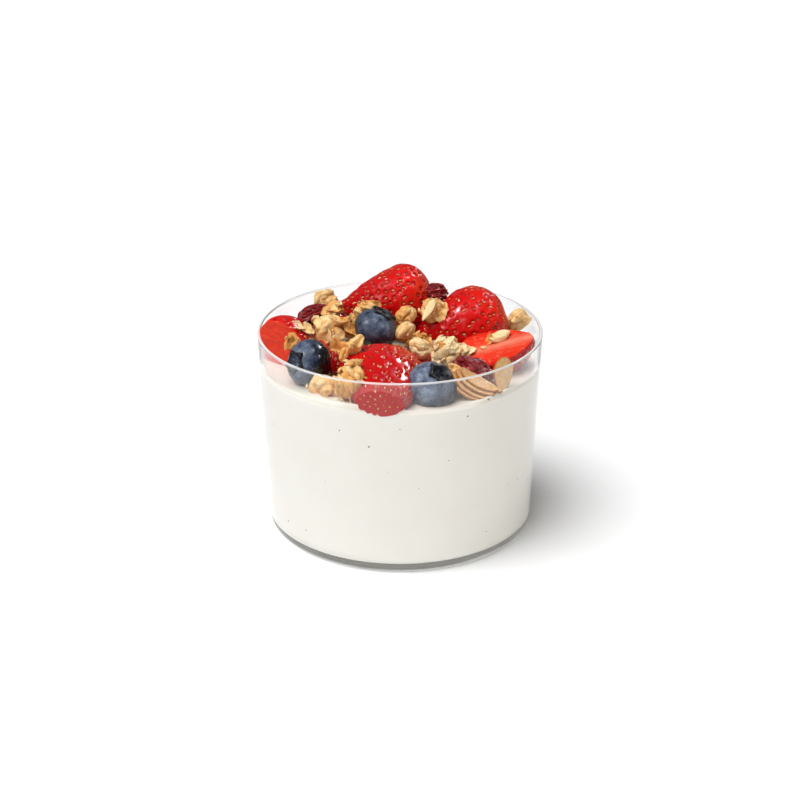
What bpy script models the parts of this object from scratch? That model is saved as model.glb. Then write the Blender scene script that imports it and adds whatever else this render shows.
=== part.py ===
"""Yogurt parfait: a tapered glass tumbler of plain yogurt, heaped with halved strawberries, blueberries,
dried cranberries, granola clusters and flaked almonds.

Run with: blender --background --python part.py. Metres, +Z up, with the origin at the middle of the glass's
base. -Y is the front. Lengths below are in millimetres and are made metres by MM.
"""

import math

import bmesh
import bpy
from mathutils import Matrix, Vector, noise

MM = 0.001
GAP = 0.3  # between two pieces that touch
SHARP = math.radians(40)  # edges sharper than this stay sharp when shaded
TURNED_MERGE = 0.02  # points of a turned shape nearer than this are one

# The tumbler: a pressed glass with a straight tapered wall and a rounded foot.
GLASS_HEIGHT = 60.5
RIM_RADIUS = 41.25
FOOT_RADIUS = 38.6  # where the wall's slope would meet the table
FOOT_ROUND = 3.8
WALL = 1.7
FLOOR = 3.0
INNER_ROUND = 3.2
PUSH_UP_RADIUS = 29.0  # the shallow hollow under the base
PUSH_UP = 0.5
PUSH_UP_SLOPE = 3.0
GLASS_STEPS = 44

# The yogurt: a level fill that creeps a little up the wall.
YOGURT_LEVEL = 52.0
YOGURT_CREEP = 0.5
YOGURT_WAVE = 0.5
YOGURT_STEPS = 36
YOGURT_RINGS = (0.4, 0.75)  # of the way out to the wall
MENISCUS = 1.2  # how far in from the wall it starts to creep up

FLAT_ENOUGH = math.radians(0.4)  # its faces flatter to each other than this are merged

WALL_LEAN = math.atan2(RIM_RADIUS - FOOT_RADIUS, GLASS_HEIGHT)


# ---------------------------------------------------------------- scene, objects and materials


def clear_scene():
    for old in list(bpy.data.objects):
        bpy.data.objects.remove(old)


def new_collection(name):
    made = bpy.data.collections.new(name)
    bpy.context.scene.collection.children.link(made)
    return made


def new_material(name, colour, roughness, transmission=0.0):
    """A Principled material with a linear colour. Nothing here is metal."""
    made = bpy.data.materials.new(name)
    made.use_nodes = True
    shader = made.node_tree.nodes["Principled BSDF"]
    shader.inputs["Base Color"].default_value = (*colour, 1.0)
    shader.inputs["Roughness"].default_value = roughness
    shader.inputs["Metallic"].default_value = 0.0
    shader.inputs["Transmission Weight"].default_value = transmission
    return made


def add_object(name, shape, material, collection, place=None):
    """An object in the collection from a bmesh, which is freed."""
    mesh = bpy.data.meshes.new(name)
    shape.to_mesh(mesh)
    shape.free()
    mesh.materials.append(material)
    shade(mesh)
    made = bpy.data.objects.new(name, mesh)
    collection.objects.link(made)
    if place is not None:
        made.matrix_world = place
    return made


def shade(mesh):
    mesh.shade_smooth()
    mesh.set_sharp_from_angle(angle=SHARP)


def add_modifier(obj, kind, **settings):
    made = obj.modifiers.new(kind.title(), kind)
    for key, value in settings.items():
        setattr(made, key, value)
    return made


def keep_evaluated(obj):
    """Bakes the object's modifiers into its mesh."""
    graph = bpy.context.evaluated_depsgraph_get()
    baked = bpy.data.meshes.new_from_object(obj.evaluated_get(graph))
    obj.modifiers.clear()
    obj.data = baked


def lie(at, along, facing):
    """A place in mm: the piece's own X points along, and its own Z as nearly as it can towards facing."""
    x_axis = Vector(along).normalized()
    z_axis = Vector(facing)
    z_axis = (z_axis - z_axis.dot(x_axis) * x_axis).normalized()
    y_axis = z_axis.cross(x_axis)
    turn = Matrix((x_axis, y_axis, z_axis)).transposed().to_4x4()
    return Matrix.Translation(Vector(at) * MM) @ turn


def times(one, other):
    """Two vectors multiplied axis by axis."""
    return Vector(a * b for a, b in zip(one, other))


def smooth_step(low, high, value):
    share = min(1.0, max(0.0, (value - low) / (high - low)))
    return share * share * (3 - 2 * share)


# ---------------------------------------------------------------- the glass and the yogurt


def arc(centre, radius, start, end, steps):
    """Points round a centre (r, z) from one angle to another, in degrees."""
    angles = [math.radians(start + (end - start) * i / steps) for i in range(steps + 1)]
    return [(centre[0] + radius * math.cos(a), centre[1] + radius * math.sin(a)) for a in angles]


def outer_radius(height):
    return FOOT_RADIUS + height * math.tan(WALL_LEAN)


def inner_radius(height):
    return outer_radius(height) - WALL / math.cos(WALL_LEAN)


def turned(name, profile, steps, material, collection):
    """A closed turned solid from (r, z) points in mm, which run down the outer side and end on the axis."""
    mesh = bpy.data.meshes.new(name)
    points = [(r * MM, 0.0, z * MM) for r, z in profile]
    mesh.from_pydata(points, [(i, i + 1) for i in range(len(points) - 1)], [])
    mesh.materials.append(material)
    made = bpy.data.objects.new(name, mesh)
    collection.objects.link(made)
    add_modifier(
        made,
        "SCREW",
        steps=steps,
        render_steps=steps,
        use_merge_vertices=True,
        merge_threshold=TURNED_MERGE * MM,
        use_smooth_shade=True,
    )
    return made


def corner_centre(radius_at_foot, height, rounding):
    """Where a corner of that rounding sits between a level floor and a leaning wall."""
    reach = radius_at_foot + (height + rounding) * math.tan(WALL_LEAN) - rounding / math.cos(WALL_LEAN)
    return reach, height + rounding


def make_glass(material, collection):
    lean = math.degrees(WALL_LEAN)
    lip = WALL / 2
    lip_centre = (outer_radius(GLASS_HEIGHT - lip) - lip / math.cos(WALL_LEAN), GLASS_HEIGHT - lip)
    inner_foot = FOOT_RADIUS - WALL / math.cos(WALL_LEAN)
    profile = [(0.0, FLOOR)]
    profile += arc(corner_centre(inner_foot, FLOOR, INNER_ROUND), INNER_ROUND, -90, -lean, 3)
    profile += arc(lip_centre, lip, 180 - lean, -lean, 4)
    profile += arc(corner_centre(FOOT_RADIUS, 0.0, FOOT_ROUND), FOOT_ROUND, -lean, -90, 4)
    profile += [(PUSH_UP_RADIUS, 0.0), (PUSH_UP_RADIUS - PUSH_UP_SLOPE, PUSH_UP), (0.0, PUSH_UP)]
    return turned("glass", profile, GLASS_STEPS, material, collection)


def make_yogurt(material, collection):
    """The fill, GAP clear of the glass. Its upper face rises a little at the wall and rolls gently."""
    lean = math.degrees(WALL_LEAN)
    inner_foot = FOOT_RADIUS - WALL / math.cos(WALL_LEAN) - GAP
    edge = inner_radius(YOGURT_LEVEL) - GAP
    floor = FLOOR + GAP
    profile = [(0.0, YOGURT_LEVEL)]
    profile += [(edge * share, YOGURT_LEVEL) for share in YOGURT_RINGS]
    profile += [(edge - MENISCUS, YOGURT_LEVEL + YOGURT_CREEP / 3), (edge, YOGURT_LEVEL + YOGURT_CREEP)]
    profile += arc(corner_centre(inner_foot, floor, INNER_ROUND), INNER_ROUND, -lean, -90, 3)
    profile += [(0.0, floor)]
    made = turned("yogurt", profile, YOGURT_STEPS, material, collection)
    keep_evaluated(made)
    for vertex in made.data.vertices:
        if vertex.co.z > (YOGURT_LEVEL - 1) * MM:
            vertex.co.z += yogurt_wave(vertex.co.x / MM, vertex.co.y / MM) * MM
    return made


def yogurt_wave(x, y):
    """Two crossing swells, the longer one stronger."""
    long_swell = math.sin(x / 9.0 + 0.6) * math.cos(y / 11.0)
    short_swell = math.sin(y / 6.0 + x / 14.0)
    return YOGURT_WAVE * (long_swell - 0.4 * short_swell)


# ---------------------------------------------------------------- fruit

STRAWBERRY_SEGMENTS = 16
STRAWBERRY_RINGS = 11
PLANE_SNAP = 0.001  # a point nearer than this to the knife's plane is on it
HULL_RADIUS = 4.0  # the hollow left where the leaves were cut out
STRAWBERRY_LOBES = ((2, 0.035, 1.0), (3, 0.025, 2.1))  # waves round its waist, their height and phase


def strawberry_point(unit, length, width, taper, hull, seed):
    """A point of the unit sphere, with its own +X the tip, taken to the berry's skin, in mm.

    A taper of 0 makes it an egg and 1 a cone; hull is the depth of the hollow under the leaves.
    """
    around = math.atan2(unit.z, unit.y)
    spread = math.hypot(unit.y, unit.z)
    fullest = 1 + 0.28 * taper
    fullness = (1 - taper * unit.x) / fullest
    lobes = 1 + sum(high * math.sin(n * around + phase * seed) for n, high, phase in STRAWBERRY_LOBES)
    radius = width / 2 * spread * fullness * lobes
    sunk = hull * (1 - smooth_step(0.0, HULL_RADIUS, radius)) if unit.x < 0 else 0.0
    return Vector((
        length * unit.x / 2 + sunk,
        radius * math.cos(around),
        radius * math.sin(around),
    ))


def cut_strawberry(name, length, width, taper, hull, cut, seed, place, material, collection):
    """A hulled strawberry cut lengthways: the cut face is at the piece's own Z = cut, the skin is above."""
    shape = bmesh.new()
    bmesh.ops.create_uvsphere(shape, u_segments=STRAWBERRY_SEGMENTS, v_segments=STRAWBERRY_RINGS, radius=1.0)
    tip_along_x = Matrix.Rotation(math.radians(90), 3, "Y")
    for vertex in shape.verts:
        vertex.co = strawberry_point(tip_along_x @ vertex.co, length, width, taper, hull, seed) * MM
    everything = shape.verts[:] + shape.edges[:] + shape.faces[:]
    bmesh.ops.bisect_plane(
        shape,
        geom=everything,
        dist=PLANE_SNAP * MM,
        plane_co=(0, 0, cut * MM),
        plane_no=(0, 0, -1),
        clear_outer=True,
    )
    rim = [edge for edge in shape.edges if edge.is_boundary]
    bmesh.ops.holes_fill(shape, edges=rim)
    bmesh.ops.recalc_face_normals(shape, faces=shape.faces)
    return add_object(name, shape, material, collection, place)


BLUEBERRY_STEPS = 15
BLUEBERRY_FLATNESS = 0.88
BLUEBERRY_SHOULDER = 38  # degrees above the waist, where the crown's flare begins
CROWN_POINTS = 5
# The crown, from the middle of its dish out over its rim, as (radius, height, how far the points rise
# there), all in shares of the berry's radius.
CROWN = [(0.0, 0.7, 0.0), (0.3, 0.7, 0.0), (0.36, 0.84, 0.06), (0.44, 0.87, 0.12), (0.52, 0.76, 0.02)]


def blueberry_profile():
    """(radius, height, rise of the crown's points) from the bottom pole up to the dish."""
    body = [(r, BLUEBERRY_FLATNESS * z, 0.0) for r, z in arc((0.0, 0.0), 1.0, -90, BLUEBERRY_SHOULDER, 6)]
    body[0] = (0.0, -BLUEBERRY_FLATNESS, 0.0)
    return body + CROWN[::-1]


def blueberry(name, radius, place, material, collection):
    """A round berry, its crown at its own +Z: five points round a shallow dish."""
    profile = blueberry_profile()
    outline = [(r * radius, z * radius) for r, z, _ in reversed(profile)]
    made = turned(name, outline, BLUEBERRY_STEPS, material, collection)
    keep_evaluated(made)
    for vertex in made.data.vertices:
        spread = math.hypot(vertex.co.x, vertex.co.y) / (radius * MM)
        if vertex.co.z > 0 and spread > CROWN[1][0] / 2:
            _, _, rise = min(profile, key=lambda ring: abs(ring[0] - spread))
            around = math.atan2(vertex.co.y, vertex.co.x)
            point = rise * (0.5 + 0.5 * math.cos(CROWN_POINTS * around))
            vertex.co.z += point * radius * MM
            vertex.co.x *= 1 + point
            vertex.co.y *= 1 + point
    made.matrix_world = place
    return made


CRANBERRY_SEGMENTS = 14
CRANBERRY_RINGS = 8
CRANBERRY_FOLD = 0.45  # how far its skin sinks in a fold, as a share of its radius
FOLD_SPACING = (0.9, 2.2, 2.2)  # folds are long along the berry's X and close together across it


def cranberry(name, size, seed, place, material, collection):
    """A dried berry, shrunk into deep folds along its length, its own X."""
    shape = bmesh.new()
    bmesh.ops.create_uvsphere(shape, u_segments=CRANBERRY_SEGMENTS, v_segments=CRANBERRY_RINGS, radius=1.0)
    pole_along_x = Matrix.Rotation(math.radians(90), 3, "Y")
    half = Vector(size) / 2
    for vertex in shape.verts:
        unit = pole_along_x @ vertex.co
        fold = noise.noise(times(unit, FOLD_SPACING) + Vector((seed, 0, 0)))
        vertex.co = times(unit, half) * (1 - CRANBERRY_FOLD * abs(fold)) * MM
    return add_object(name, shape, material, collection, place)


# ---------------------------------------------------------------- granola and almonds

FLAKE_SEGMENTS = 12
FLAKE_RINGS = 6
FLAKE_LOBES = ((2, 0.12, 1.0), (3, 0.09, 1.7))
FLAKE_CUP = 0.3  # how much higher its edge is than its middle
CLUSTER_CORE = 0.6  # size of the lump that the flakes are baked on, as a share of the cluster
CLUSTER_SHELL = 0.66  # how far out the flakes sit
CLUSTER_VOXEL = 0.55
CLUSTER_TRIANGLES = 78


def add_flake(shape, length, width, thickness, seed, place):
    """Adds a rolled-oat flake to a bmesh: a closed, lobed, cupped disc, in mm."""
    made = bmesh.ops.create_uvsphere(shape, u_segments=FLAKE_SEGMENTS, v_segments=FLAKE_RINGS, radius=1.0)
    for vertex in made["verts"]:
        unit = vertex.co.copy()
        around = math.atan2(unit.y, unit.x)
        lobes = 1 + sum(high * math.sin(n * around + phase * seed) for n, high, phase in FLAKE_LOBES)
        spread = math.hypot(unit.x, unit.y)
        curl = FLAKE_CUP * spread * spread * (1 + 0.5 * math.sin(2 * around + 2.3 * seed))
        flat = times(unit, (lobes * length / 2, lobes * width / 2, thickness / 2))
        vertex.co = place @ ((flat + Vector((0, 0, curl))) * MM)


def granola_cluster(name, size, seed, place, material, collection, flakes):
    """Oat flakes baked into one lump: flakes that face outwards all round a core, merged into one skin."""
    shape = bmesh.new()
    bmesh.ops.create_icosphere(shape, subdivisions=2, radius=1.0)
    half = Vector(size) / 2
    for vertex in shape.verts:
        vertex.co = times(vertex.co, half) * CLUSTER_CORE * MM
    golden_angle = math.pi * (3 - math.sqrt(5))
    for i in range(flakes):
        up = 1 - 2 * (i + 0.5) / flakes
        around = i * golden_angle + seed
        level = math.sqrt(1 - up * up)
        out = Vector((level * math.cos(around), level * math.sin(around), up))
        tilt = Vector((math.sin(3 * i + seed), math.cos(5 * i + seed), math.sin(7 * i))) / 2
        turn = lie(times(out, half) * CLUSTER_SHELL, out.orthogonal() + tilt / 3, out + tilt)
        width = min(size) * (0.66 + 0.16 * math.sin(2.3 * i + seed))
        add_flake(shape, width * 1.3, width, width / 4, seed + i, turn)
    made = add_object(name, shape, material, collection, place)
    add_modifier(made, "REMESH", mode="VOXEL", voxel_size=CLUSTER_VOXEL * MM)
    keep_evaluated(made)
    made.data.calc_loop_triangles()
    add_modifier(made, "DECIMATE", ratio=CLUSTER_TRIANGLES / len(made.data.loop_triangles))
    keep_evaluated(made)
    return made


ALMOND_SEGMENTS = 18
ALMOND_POINT = (0.28, 0.1)  # how much narrower it gets towards its point, along x and x squared


def almond_slice(name, length, width, thickness, bend, place, material, collection):
    """A flaked almond: a thin pointed oval, its own +X the point, bent a little along its length."""
    shape = bmesh.new()
    bmesh.ops.create_circle(shape, cap_ends=True, segments=ALMOND_SEGMENTS, radius=1.0)
    bmesh.ops.inset_region(shape, faces=shape.faces[:], thickness=0.35)
    for vertex in shape.verts:
        along, across = vertex.co.x, vertex.co.y
        narrow = 1 - ALMOND_POINT[0] * along - ALMOND_POINT[1] * along * along
        vertex.co = Vector((along * length / 2, across * width / 2 * narrow, bend * along * along)) * MM
    made = add_object(name, shape, material, collection, place)
    add_modifier(made, "SOLIDIFY", thickness=thickness * MM, offset=0.0)
    return made


# ---------------------------------------------------------------- pieces that meet


def cutter_of(piece, collection):
    """A copy of the piece, GAP larger all round, to cut its neighbours with."""
    made = piece.copy()
    made.data = piece.data.copy()
    made.name = "around_" + piece.name
    for vertex, normal in zip(made.data.vertices, [n.vector.copy() for n in made.data.vertex_normals]):
        vertex.co += normal * GAP * MM
    made.hide_render = True
    made.display_type = "WIRE"
    collection.objects.link(made)
    return made


def world_box(obj):
    corners = [obj.matrix_world @ vertex.co for vertex in obj.data.vertices]
    return [(min(c[i] for c in corners), max(c[i] for c in corners)) for i in range(3)]


def boxes_meet(one, other):
    pairs = zip(world_box(one), world_box(other))
    return all(a[0] < b[1] and b[0] < a[1] for a, b in pairs)


def keep_largest_body(obj):
    """Drops the crumbs that a cut leaves loose."""
    shape = bmesh.new()
    shape.from_mesh(obj.data)
    unseen = set(shape.verts)
    bodies = []
    while unseen:
        body, edge = set(), [unseen.pop()]
        while edge:
            vertex = edge.pop()
            body.add(vertex)
            linked = {e.other_vert(vertex) for e in vertex.link_edges} & unseen
            unseen -= linked
            edge.extend(linked)
        bodies.append(body)
    bodies.sort(key=len)
    loose = [vertex for body in bodies[:-1] for vertex in body]
    bmesh.ops.delete(shape, geom=loose, context="VERTS")
    shape.to_mesh(obj.data)
    shape.free()


def cut_back(piece, cutters):
    """Cuts the piece where it would press into what is already in its place.

    The exact solver loses pieces here, where many closed skins nearly touch, so the manifold one cuts.
    """
    meeting = [cutter for cutter in cutters if boxes_meet(piece, cutter)]
    for cutter in meeting:
        add_modifier(piece, "BOOLEAN", operation="DIFFERENCE", object=cutter, solver="MANIFOLD")
    if meeting:
        keep_evaluated(piece)
        keep_largest_body(piece)
        shade(piece.data)


# ---------------------------------------------------------------- the parfait, piece by piece

RED = (0.62, 0.012, 0.012)
NAVY = (0.045, 0.065, 0.14)
MAROON = (0.13, 0.008, 0.012)
TOASTED = (0.66, 0.37, 0.12)
CREAM = (0.80, 0.60, 0.30)
WHITE = (0.87, 0.85, 0.79)
CLEAR = (0.98, 0.99, 0.99)


def make_strawberries(material, collection):
    """Cut strawberries, each ((at, tip towards, skin towards), (length, width, taper, hull, cut, seed))."""
    placed = {
        "back": (((-5.2, 17, 62.3), (-1, 0.05, -0.22), (0, -0.7, 0.71)), (30, 20, 0.9, 1.0, 0, 1.0)),
        "right": (((16.2, 7.4, 57.3), (-0.95, -0.2, -0.2), (-0.1, -0.4, 0.91)), (31, 23, 0.7, 1.6, 0, 2.2)),
        "front": (((-5.1, -25, 53), (0.13, -1, -0.02), (0, 0, 1)), (31, 25.4, 0.38, 1.0, -3, 3.1)),
        "open_right": (((28.4, -9, 57.2), (-0.95, -0.2, -0.2), (0.1, 0.2, -0.97)), (22, 19, 0.4, 0, -2, 4.5)),
        "open_left": (((-30.5, -6.4, 57), (0.85, -0.5, -0.2), (0.5, 0.85, 0)), (22, 16.5, 0.35, 0, -3, 5.3)),
        "small": (((9.5, -9, 54.8), (0.9, 0.2, -0.1), (0, 0.2, -1)), (14, 11, 0.5, 0, 0, 0.4)),
        "low": (((-19.5, -12.5, 54), (0.8, -0.5, 0), (-0.1, -0.2, 1)), (16, 13, 0.5, 0, 0, 1.9)),
        "far": (((-14, 27, 52.6), (-0.9, -0.35, 0), (0, 0.1, 1)), (22, 17, 0.5, 1.0, 0, 6.2)),
    }
    return [
        cut_strawberry("strawberry_" + name, *form, lie(*place), material, collection)
        for name, (place, form) in placed.items()
    ]


def make_blueberries(material, collection):
    """Each is (at, radius, the way its crown faces)."""
    placed = {
        "left": ((-25.2, -20, 57.9), 6.8, (-0.62, -0.74, 0.26)),
        "middle": ((-6.8, -3, 61.7), 6.5, (0.35, 0.45, 0.85)),
        "front": ((8.7, -30.3, 55.2), 7.2, (0.35, -0.45, 0.82)),
        "far": ((21, 27.5, 54.4), 6.4, (-0.3, 0.5, 0.8)),
    }
    return [
        blueberry("blueberry_" + name, radius, lie(at, Vector(up).orthogonal(), up), material, collection)
        for name, (at, radius, up) in placed.items()
    ]


def make_cranberries(material, collection):
    """Dried berries, each ((at, long way, up), size, seed)."""
    placed = {
        "left": (((-25.5, 7, 62.2), (1, 0.3, 0.35), (0, -0.4, 1)), (11, 7, 6), 1.0),
        "back": (((9.2, 13, 66.4), (1, 0.1, -0.05), (0, -0.3, 1)), (11, 7.5, 6.5), 2.0),
        "front": (((20.6, -21, 56.6), (1, -0.25, -0.35), (0, -0.3, 1)), (13, 8, 6.5), 3.0),
    }
    return [
        cranberry("cranberry_" + name, size, seed, lie(*place), material, collection)
        for name, (place, size, seed) in placed.items()
    ]


def make_granola(material, collection):
    """Baked clusters, each ((at, long way, up), size, flakes, seed)."""
    placed = {
        "ball": (((-21.2, 12, 64.9), (1, 0, 0), (0, 0, 1)), (6.8, 6.4, 6.2), 6, 0.3),
        "left_top": (((-20.1, 6, 63.2), (1, 0, -0.1), (0, -0.4, 1)), (9.5, 6.5, 5.5), 6, 1.3),
        "left": (((-19.6, -3, 60.6), (1, 0.1, 0.1), (0, -0.5, 1)), (12, 9, 9), 9, 2.6),
        "left_low": (((-13.8, -1.4, 61.4), (0.3, 0.1, 1), (0, -0.5, 1)), (9, 6.5, 6), 6, 2.8),
        "curl": (((-31.2, -13.2, 61.6), (1, 0, 0.6), (0, -0.6, 1)), (6.4, 4.5, 5), 5, 3.7),
        "middle": (((-9.4, 4.5, 64.6), (1, 0, -0.2), (0, -0.4, 1)), (10, 6, 7), 7, 4.4),
        "knot": (((1.6, 4, 62.8), (1, 0, 0.3), (0, -0.4, 1)), (7, 5.5, 5.5), 5, 5.2),
        "puff_top": (((1.2, -4, 61.4), (1, 0, -0.2), (0, -0.3, 1)), (7, 6, 6), 6, 6.6),
        "puff_low": (((5.4, -11, 58.6), (0.6, -0.3, -0.8), (0, -0.6, 1)), (8, 6, 5.5), 6, 7.1),
        "chip": (((-12.6, -22.5, 63.4), (1, 0, 0.5), (0, -0.9, 0.6)), (8.5, 7.5, 5.5), 5, 8.2),
        "peak": (((-12.6, -33.4, 57.6), (0.1, 0.25, 1), (0, -1, 0.2)), (15, 8, 6.5), 9, 9.4),
        "rim_left": (((-20.5, -29.8, 54.2), (1, -0.45, 0.05), (0, -0.4, 1)), (12, 6.5, 6), 8, 10.3),
        "crumbly": (((9.7, 4.5, 64.2), (1, 0, 0.1), (0, -0.4, 1)), (11, 7, 7), 8, 11.6),
        "right": (((13.6, -14, 58.6), (1, 0, -0.3), (0, -0.4, 1)), (11, 8, 7.5), 8, 12.9),
        "rim_right": (((34.6, 7.5, 60.3), (1, 0.1, 0.1), (0, -0.5, 1)), (7.8, 5, 5.5), 6, 13.2),
        "under_left": (((-20, 8, 55.6), (1, 0, 0), (0, 0, 1)), (13, 9, 7), 8, 14.5),
        "under_middle": (((-7, 1, 55), (1, 0.3, 0), (0, 0, 1)), (13, 8, 6.5), 8, 15.7),
        "under_right": (((6, 0, 55.4), (1, -0.3, 0), (0, 0, 1)), (11, 8, 7), 7, 17.1),
        "under_edge": (((22.5, -4, 54.2), (1, 0, 0), (0, 0, 1)), (10, 8, 6), 6, 18.6),
        "far": (((3, 30.5, 55.2), (1, -0.2, 0), (0, 0, 1)), (12, 9, 7), 8, 16.4),
        "far_left": (((-27.5, 17, 55), (0.6, 1, 0), (0, 0, 1)), (10, 7, 6.5), 6, 19.3),
        "far_right": (((29.5, 18, 54.8), (0.5, -1, 0), (0, 0, 1)), (11, 8, 6.5), 7, 20.8),
    }
    return [
        granola_cluster("granola_" + name, size, seed, lie(*place), material, collection, flakes)
        for name, (place, size, flakes, seed) in placed.items()
    ]


def make_almonds(material, collection):
    """Flaked almonds, each ((at, point towards, face towards), (length, width, thickness, bend))."""
    placed = {
        "upright": (((28.3, -25.6, 56.6), (-0.1, -0.2, -1), (0.6, -0.75, 0.2)), (10.5, 5.4, 1.1, 0.5)),
        "fan_1": (((19.2, -30.2, 54.6), (0.75, -0.25, -0.55), (0.2, -0.6, 0.8)), (13, 5, 1.0, 0.6)),
        "fan_2": (((23.2, -28.4, 54.8), (0.85, -0.15, -0.42), (0.2, -0.55, 0.8)), (12, 5, 1.0, 0.6)),
    }
    return [
        almond_slice("almond_" + name, *form, lie(*place), material, collection)
        for name, (place, form) in placed.items()
    ]


def make_parfait():
    clear_scene()
    parfait = new_collection("yogurt_parfait")
    helpers = new_collection("cutters")

    glass = make_glass(new_material("clear_glass", CLEAR, 0.02, transmission=1.0), parfait)
    berries = make_blueberries(new_material("blueberry", NAVY, 0.45), parfait)
    berries += make_strawberries(new_material("strawberry", RED, 0.22), parfait)
    berries += make_cranberries(new_material("dried_cranberry", MAROON, 0.3), parfait)
    grains = make_granola(new_material("baked_oats", TOASTED, 0.6), parfait)
    grains += make_almonds(new_material("flaked_almond", CREAM, 0.55), parfait)
    yogurt = make_yogurt(new_material("plain_yogurt", WHITE, 0.4), parfait)

    keep_evaluated(glass)
    placed = [cutter_of(glass, helpers)]
    for piece in berries + grains:
        cut_back(piece, placed)
        placed.append(cutter_of(piece, helpers))
    cut_back(yogurt, placed[1:])
    add_modifier(yogurt, "DECIMATE", decimate_type="DISSOLVE", angle_limit=FLAT_ENOUGH)


make_parfait()
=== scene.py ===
"""The looks of a yogurt parfait: a small glass tumbler of plain yogurt under a heap of cut strawberries,
blueberries, dried cranberries, baked granola and flaked almonds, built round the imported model.

Lengths here are in millimetres and are made metres by MM. -Y is the front and +Z is up.
"""

import math
from contextlib import contextmanager

import bmesh
import bpy
import numpy as np
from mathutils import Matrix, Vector, noise
from mathutils.bvhtree import BVHTree


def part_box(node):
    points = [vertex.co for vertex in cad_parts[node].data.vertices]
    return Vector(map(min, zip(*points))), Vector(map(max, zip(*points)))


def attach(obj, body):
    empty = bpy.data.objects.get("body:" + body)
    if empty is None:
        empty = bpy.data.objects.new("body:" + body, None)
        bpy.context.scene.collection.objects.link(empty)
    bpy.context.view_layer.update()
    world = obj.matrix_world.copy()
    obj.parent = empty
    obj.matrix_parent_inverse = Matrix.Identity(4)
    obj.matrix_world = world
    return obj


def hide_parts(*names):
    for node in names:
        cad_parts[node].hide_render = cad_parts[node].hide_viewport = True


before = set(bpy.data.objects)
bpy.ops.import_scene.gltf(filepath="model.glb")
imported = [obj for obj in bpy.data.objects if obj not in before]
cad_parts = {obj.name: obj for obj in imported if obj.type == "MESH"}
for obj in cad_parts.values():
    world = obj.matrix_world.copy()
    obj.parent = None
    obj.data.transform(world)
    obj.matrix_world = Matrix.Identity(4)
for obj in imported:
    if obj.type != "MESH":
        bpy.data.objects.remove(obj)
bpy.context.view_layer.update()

MM = 0.001


# ---------------------------------------------------------------- meshes: how every piece is made


@contextmanager
def editing(obj, select="SELECT"):
    """Edit mode on this piece alone, with all of it selected or none."""
    bpy.ops.object.select_all(action="DESELECT")
    obj.select_set(True)
    bpy.context.view_layer.objects.active = obj
    bpy.ops.object.mode_set(mode="EDIT")
    bpy.ops.mesh.select_all(action=select)
    yield
    bpy.ops.object.mode_set(mode="OBJECT")


def pick(obj, kind, wanted):
    """In edit mode, selects only the points, edges or faces whose middle, in mm, passes the test."""
    bpy.ops.mesh.select_all(action="DESELECT")
    bpy.ops.mesh.select_mode(type=kind)
    shape = bmesh.from_edit_mesh(obj.data)
    if kind == "VERT":
        chosen = [vertex for vertex in shape.verts if wanted(vertex.co / MM)]
    elif kind == "EDGE":
        chosen = [edge for edge in shape.edges if wanted((edge.verts[0].co + edge.verts[1].co) / 2 / MM)]
    else:
        chosen = [face for face in shape.faces if wanted(face.calc_center_median() / MM)]
    for item in chosen:
        item.select_set(True)
    bmesh.update_edit_mesh(obj.data)


def primitive(kind, **settings):
    """Adds one of Blender's primitives, with its place in its mesh, and returns it."""
    bpy.ops.object.select_all(action="DESELECT")
    getattr(bpy.ops.mesh, "primitive_" + kind + "_add")(**settings)
    bpy.ops.object.transform_apply(location=True, rotation=True, scale=True)
    return bpy.context.object


def modify(obj, kind, **settings):
    """Adds a modifier and applies it."""
    modifier = obj.modifiers.new(kind.title(), kind)
    for key, value in settings.items():
        setattr(modifier, key, value)
    with bpy.context.temp_override(object=obj, active_object=obj, selected_objects=[obj]):
        bpy.ops.object.modifier_apply(modifier=modifier.name)


def points_of(obj):
    """The piece's points in mm, as an array."""
    points = np.empty(len(obj.data.vertices) * 3, np.float32)
    obj.data.vertices.foreach_get("co", points)
    return points.reshape(-1, 3) / MM


def normals_of(obj):
    """The normal at each of the piece's points."""
    normals = np.empty(len(obj.data.vertices) * 3, np.float32)
    obj.data.vertex_normals.foreach_get("vector", normals)
    return normals.reshape(-1, 3)


def move_points(obj, points):
    """Moves the piece's points to those places, in mm."""
    obj.data.vertices.foreach_set("co", (points * MM).astype(np.float32).ravel())
    obj.data.update()


def mark(obj, name, values):
    """Stores a number or a vector for each point, which a material reads by name."""
    values = np.asarray(values, np.float32)
    kind, key = ("FLOAT", "value") if values.ndim == 1 else ("FLOAT_VECTOR", "vector")
    obj.data.attributes.new(name, kind, "POINT").data.foreach_set(key, values.ravel())


def own_axes(along, facing):
    """Rows are a piece's own X, Y and Z: X points along, Z as nearly as it can towards facing."""
    x_axis = np.array(along, float)
    x_axis /= np.linalg.norm(x_axis)
    z_axis = np.array(facing, float)
    z_axis -= z_axis @ x_axis * x_axis
    z_axis /= np.linalg.norm(z_axis)
    return np.array([x_axis, np.cross(z_axis, x_axis), z_axis])


def own_box(node, axes):
    """A CAD node's lowest and highest corner along a piece's own axes, in mm."""
    points = points_of(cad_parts[node]) @ axes.T
    return points.min(0), points.max(0)


def smooth_step(low, high, values):
    """0 up to low, 1 from high on, and an even rise between."""
    share = np.clip((values - low) / (high - low), 0.0, 1.0)
    return share * share * (3 - 2 * share)


def nearest(points, targets):
    """For each point, how far its nearest target is and which one that is."""
    far, index = np.empty(len(points)), np.empty(len(points), int)
    for start in range(0, len(points), 4000):
        part = points[start : start + 4000]
        gaps = ((part[:, None, :] - targets[None, :, :]) ** 2).sum(2)
        index[start : start + 4000] = gaps.argmin(1)
        far[start : start + 4000] = np.sqrt(gaps.min(1))
    return far, index


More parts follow.
